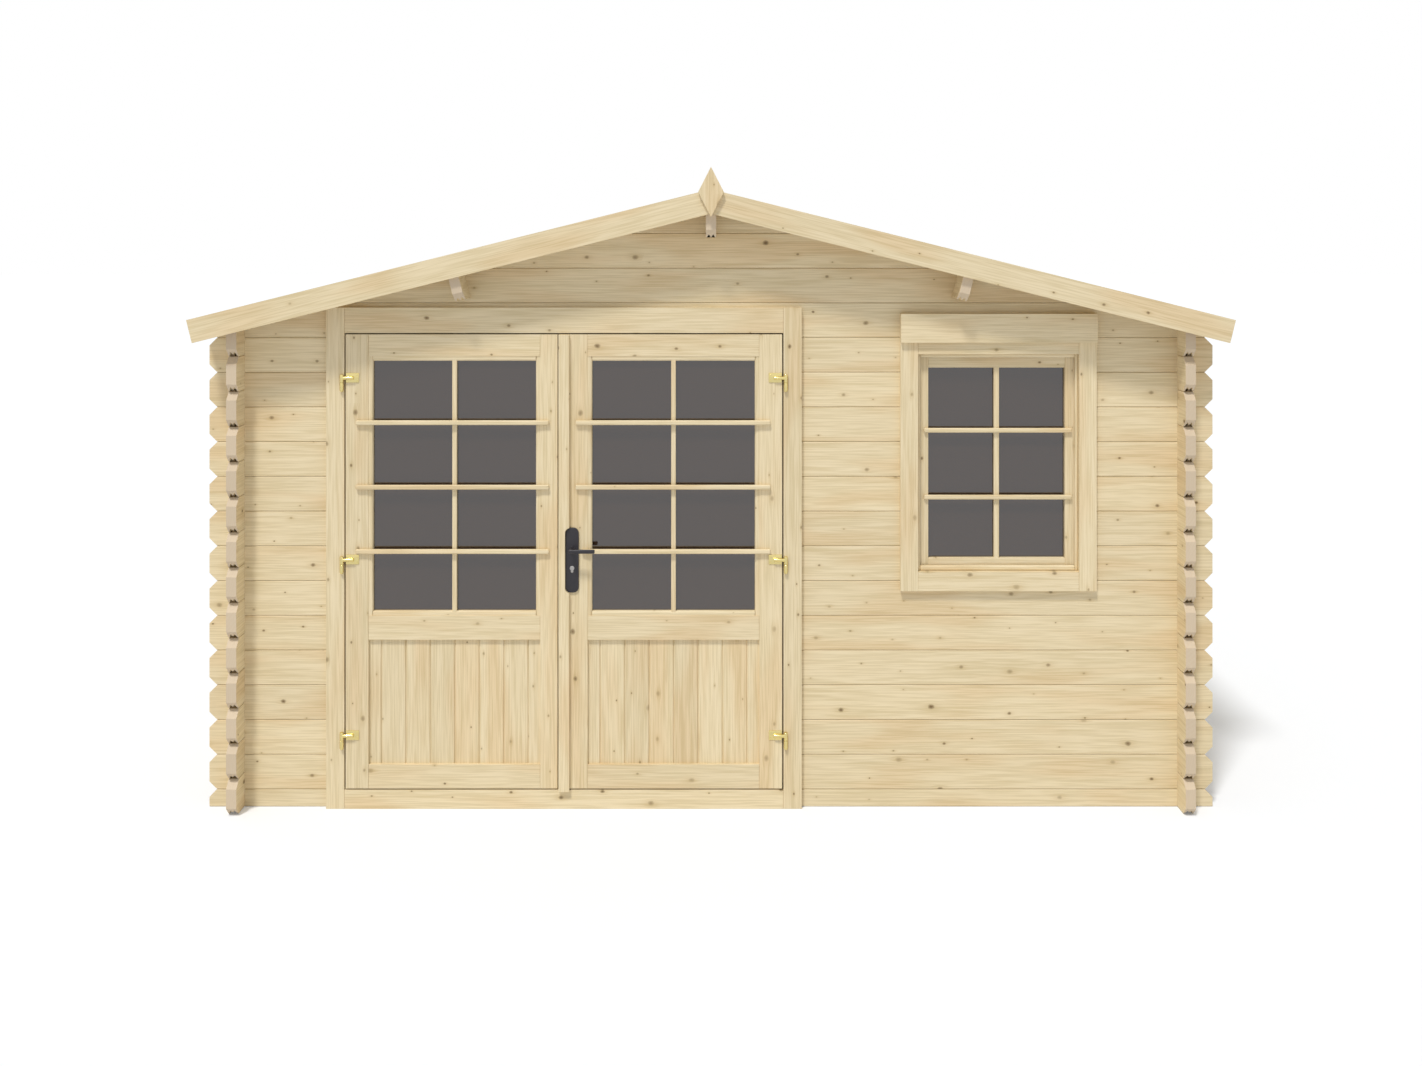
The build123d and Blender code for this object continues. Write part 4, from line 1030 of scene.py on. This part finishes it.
cylinder = bmesh.new()
cylinder_front, cylinder_back = leaf_front - CYLINDER_PROUD, leaf_back + CYLINDER_PROUD
front_middle, back_middle = (HANDLE_X, cylinder_front, KEY_Z), (HANDLE_X, cylinder_back, KEY_Z)
rod(cylinder, front_middle, back_middle, CYLINDER_RADIUS, CYLINDER_ROUNDING)
tail_foot = (HANDLE_X - TAIL_HALF, cylinder_front, KEY_Z + TAIL_FOOT)
tail_top = (HANDLE_X + TAIL_HALF, cylinder_back, KEY_Z + TAIL_TOP)
block(cylinder, tail_foot, tail_top, TAIL_ROUNDING, 3)
finish_piece(cylinder, "lock_cylinder_round", "right_door", steel, ["lock_cylinder"], smooth=True)

# %% [markdown]
# The studio is a plain pale floor under an even, pale sky, with one soft sun from the front
# left and above. The sky shows white to the camera, to gloss and to glass, and lights the cabin
# at a plain level. The floor is pale enough to come out white in the sun, and keeps the shadow.

# %% Floor
FLOOR_SIZE = 60.0
FLOOR_Z = -0.0005
FLOOR_COLOUR = (0.78, 0.80, 0.83, 1.0)
FLOOR_ROUGHNESS = 0.9
FLOOR_GLOW = 0.14
WHITE = (1.0, 1.0, 1.0, 1.0)

floor_paint, tree, shader = new_material("studio_floor")
seen = add_node(tree, "LightPath").outputs["Is Camera Ray"]
glow = add_node(tree, "Math", {0: seen, 1: FLOOR_GLOW}, operation="MULTIPLY").outputs[0]
fill(tree, shader, {"Base Color": FLOOR_COLOUR, "Roughness": FLOOR_ROUGHNESS})
fill(tree, shader, {"Specular IOR Level": 0.0, "Emission Color": WHITE, "Emission Strength": glow})
floor_shape = bmesh.new()
bmesh.ops.create_grid(floor_shape, x_segments=1, y_segments=1, size=FLOOR_SIZE)
bmesh.ops.translate(floor_shape, vec=(0, 0, FLOOR_Z), verts=floor_shape.verts)
studio_floor = make_object(floor_shape, "studio_floor", floor_paint)

# %% [markdown]
# The sky is one Background node whose strength depends on who looks: the camera and mirrored or
# see-through rays find pure white, and every other ray finds the level that lights the cabin.

# %% Sky and sun
SKY_LEVEL = 0.53
SUN_STRENGTH = 2.12
SUN_SOFTNESS = 8
SUN_COLOUR = (1.0, 0.995, 0.985)
SUN_WAY = (0.47, 1.0, -1.9)

world = bpy.data.worlds.new("studio_sky")
bpy.context.scene.world = world
world.use_nodes = True
tree = world.node_tree
tree.nodes.clear()
sky_sum, _ = sums_in(tree)
rays = add_node(tree, "LightPath").outputs
seen = sky_sum("MAXIMUM", rays["Is Camera Ray"], rays["Is Glossy Ray"])
seen = sky_sum("MAXIMUM", seen, rays["Is Transmission Ray"])
strength = ramp(tree, seen, 0.0, 1.0, SKY_LEVEL, 1.0)
sky = add_node(tree, "Background", {"Color": WHITE, "Strength": strength})
add_node(tree, "OutputWorld", {0: sky.outputs[0]})

sun_data = bpy.data.lights.new("sun", "SUN")
sun_data.energy = SUN_STRENGTH
sun_data.angle = math.radians(SUN_SOFTNESS)
sun_data.color = SUN_COLOUR
sun = bpy.data.objects.new("sun", sun_data)
sun.rotation_euler = Vector(SUN_WAY).to_track_quat("-Z", "Y").to_euler()
bpy.context.scene.collection.objects.link(sun)
bpy.context.scene.view_settings.view_transform = "Standard"
print("sky", SKY_LEVEL, "sun", sun_data.energy)

# %% [markdown]
# The picture is a straight front view from a little below the ridge, so the camera looks
# level and its frame is shifted down instead of tilted. That keeps the uprights upright.

# %% Camera
IMAGE_WIDTH, IMAGE_HEIGHT = 1422, 1066
WALL_Y = -1.395
CAMERA_DISTANCE = 5.6
METRES_PER_PIXEL = 0.003972
EYE_HEIGHT = 2.302
HORIZON_ROW = 227
SENSOR_WIDTH = 36.0

camera_data = bpy.data.cameras.new("camera")
camera_data.sensor_width = SENSOR_WIDTH
camera_data.lens = CAMERA_DISTANCE / (METRES_PER_PIXEL * IMAGE_WIDTH) * SENSOR_WIDTH
camera_data.shift_y = (HORIZON_ROW - IMAGE_HEIGHT / 2) / IMAGE_WIDTH
camera = bpy.data.objects.new("camera", camera_data)
camera.location = (0.0, WALL_Y - CAMERA_DISTANCE, EYE_HEIGHT)
camera.rotation_euler = (math.radians(90), 0, 0)
bpy.context.scene.collection.objects.link(camera)
bpy.context.scene.camera = camera
print("lens", round(camera_data.lens, 2), "shift", round(camera_data.shift_y, 4))
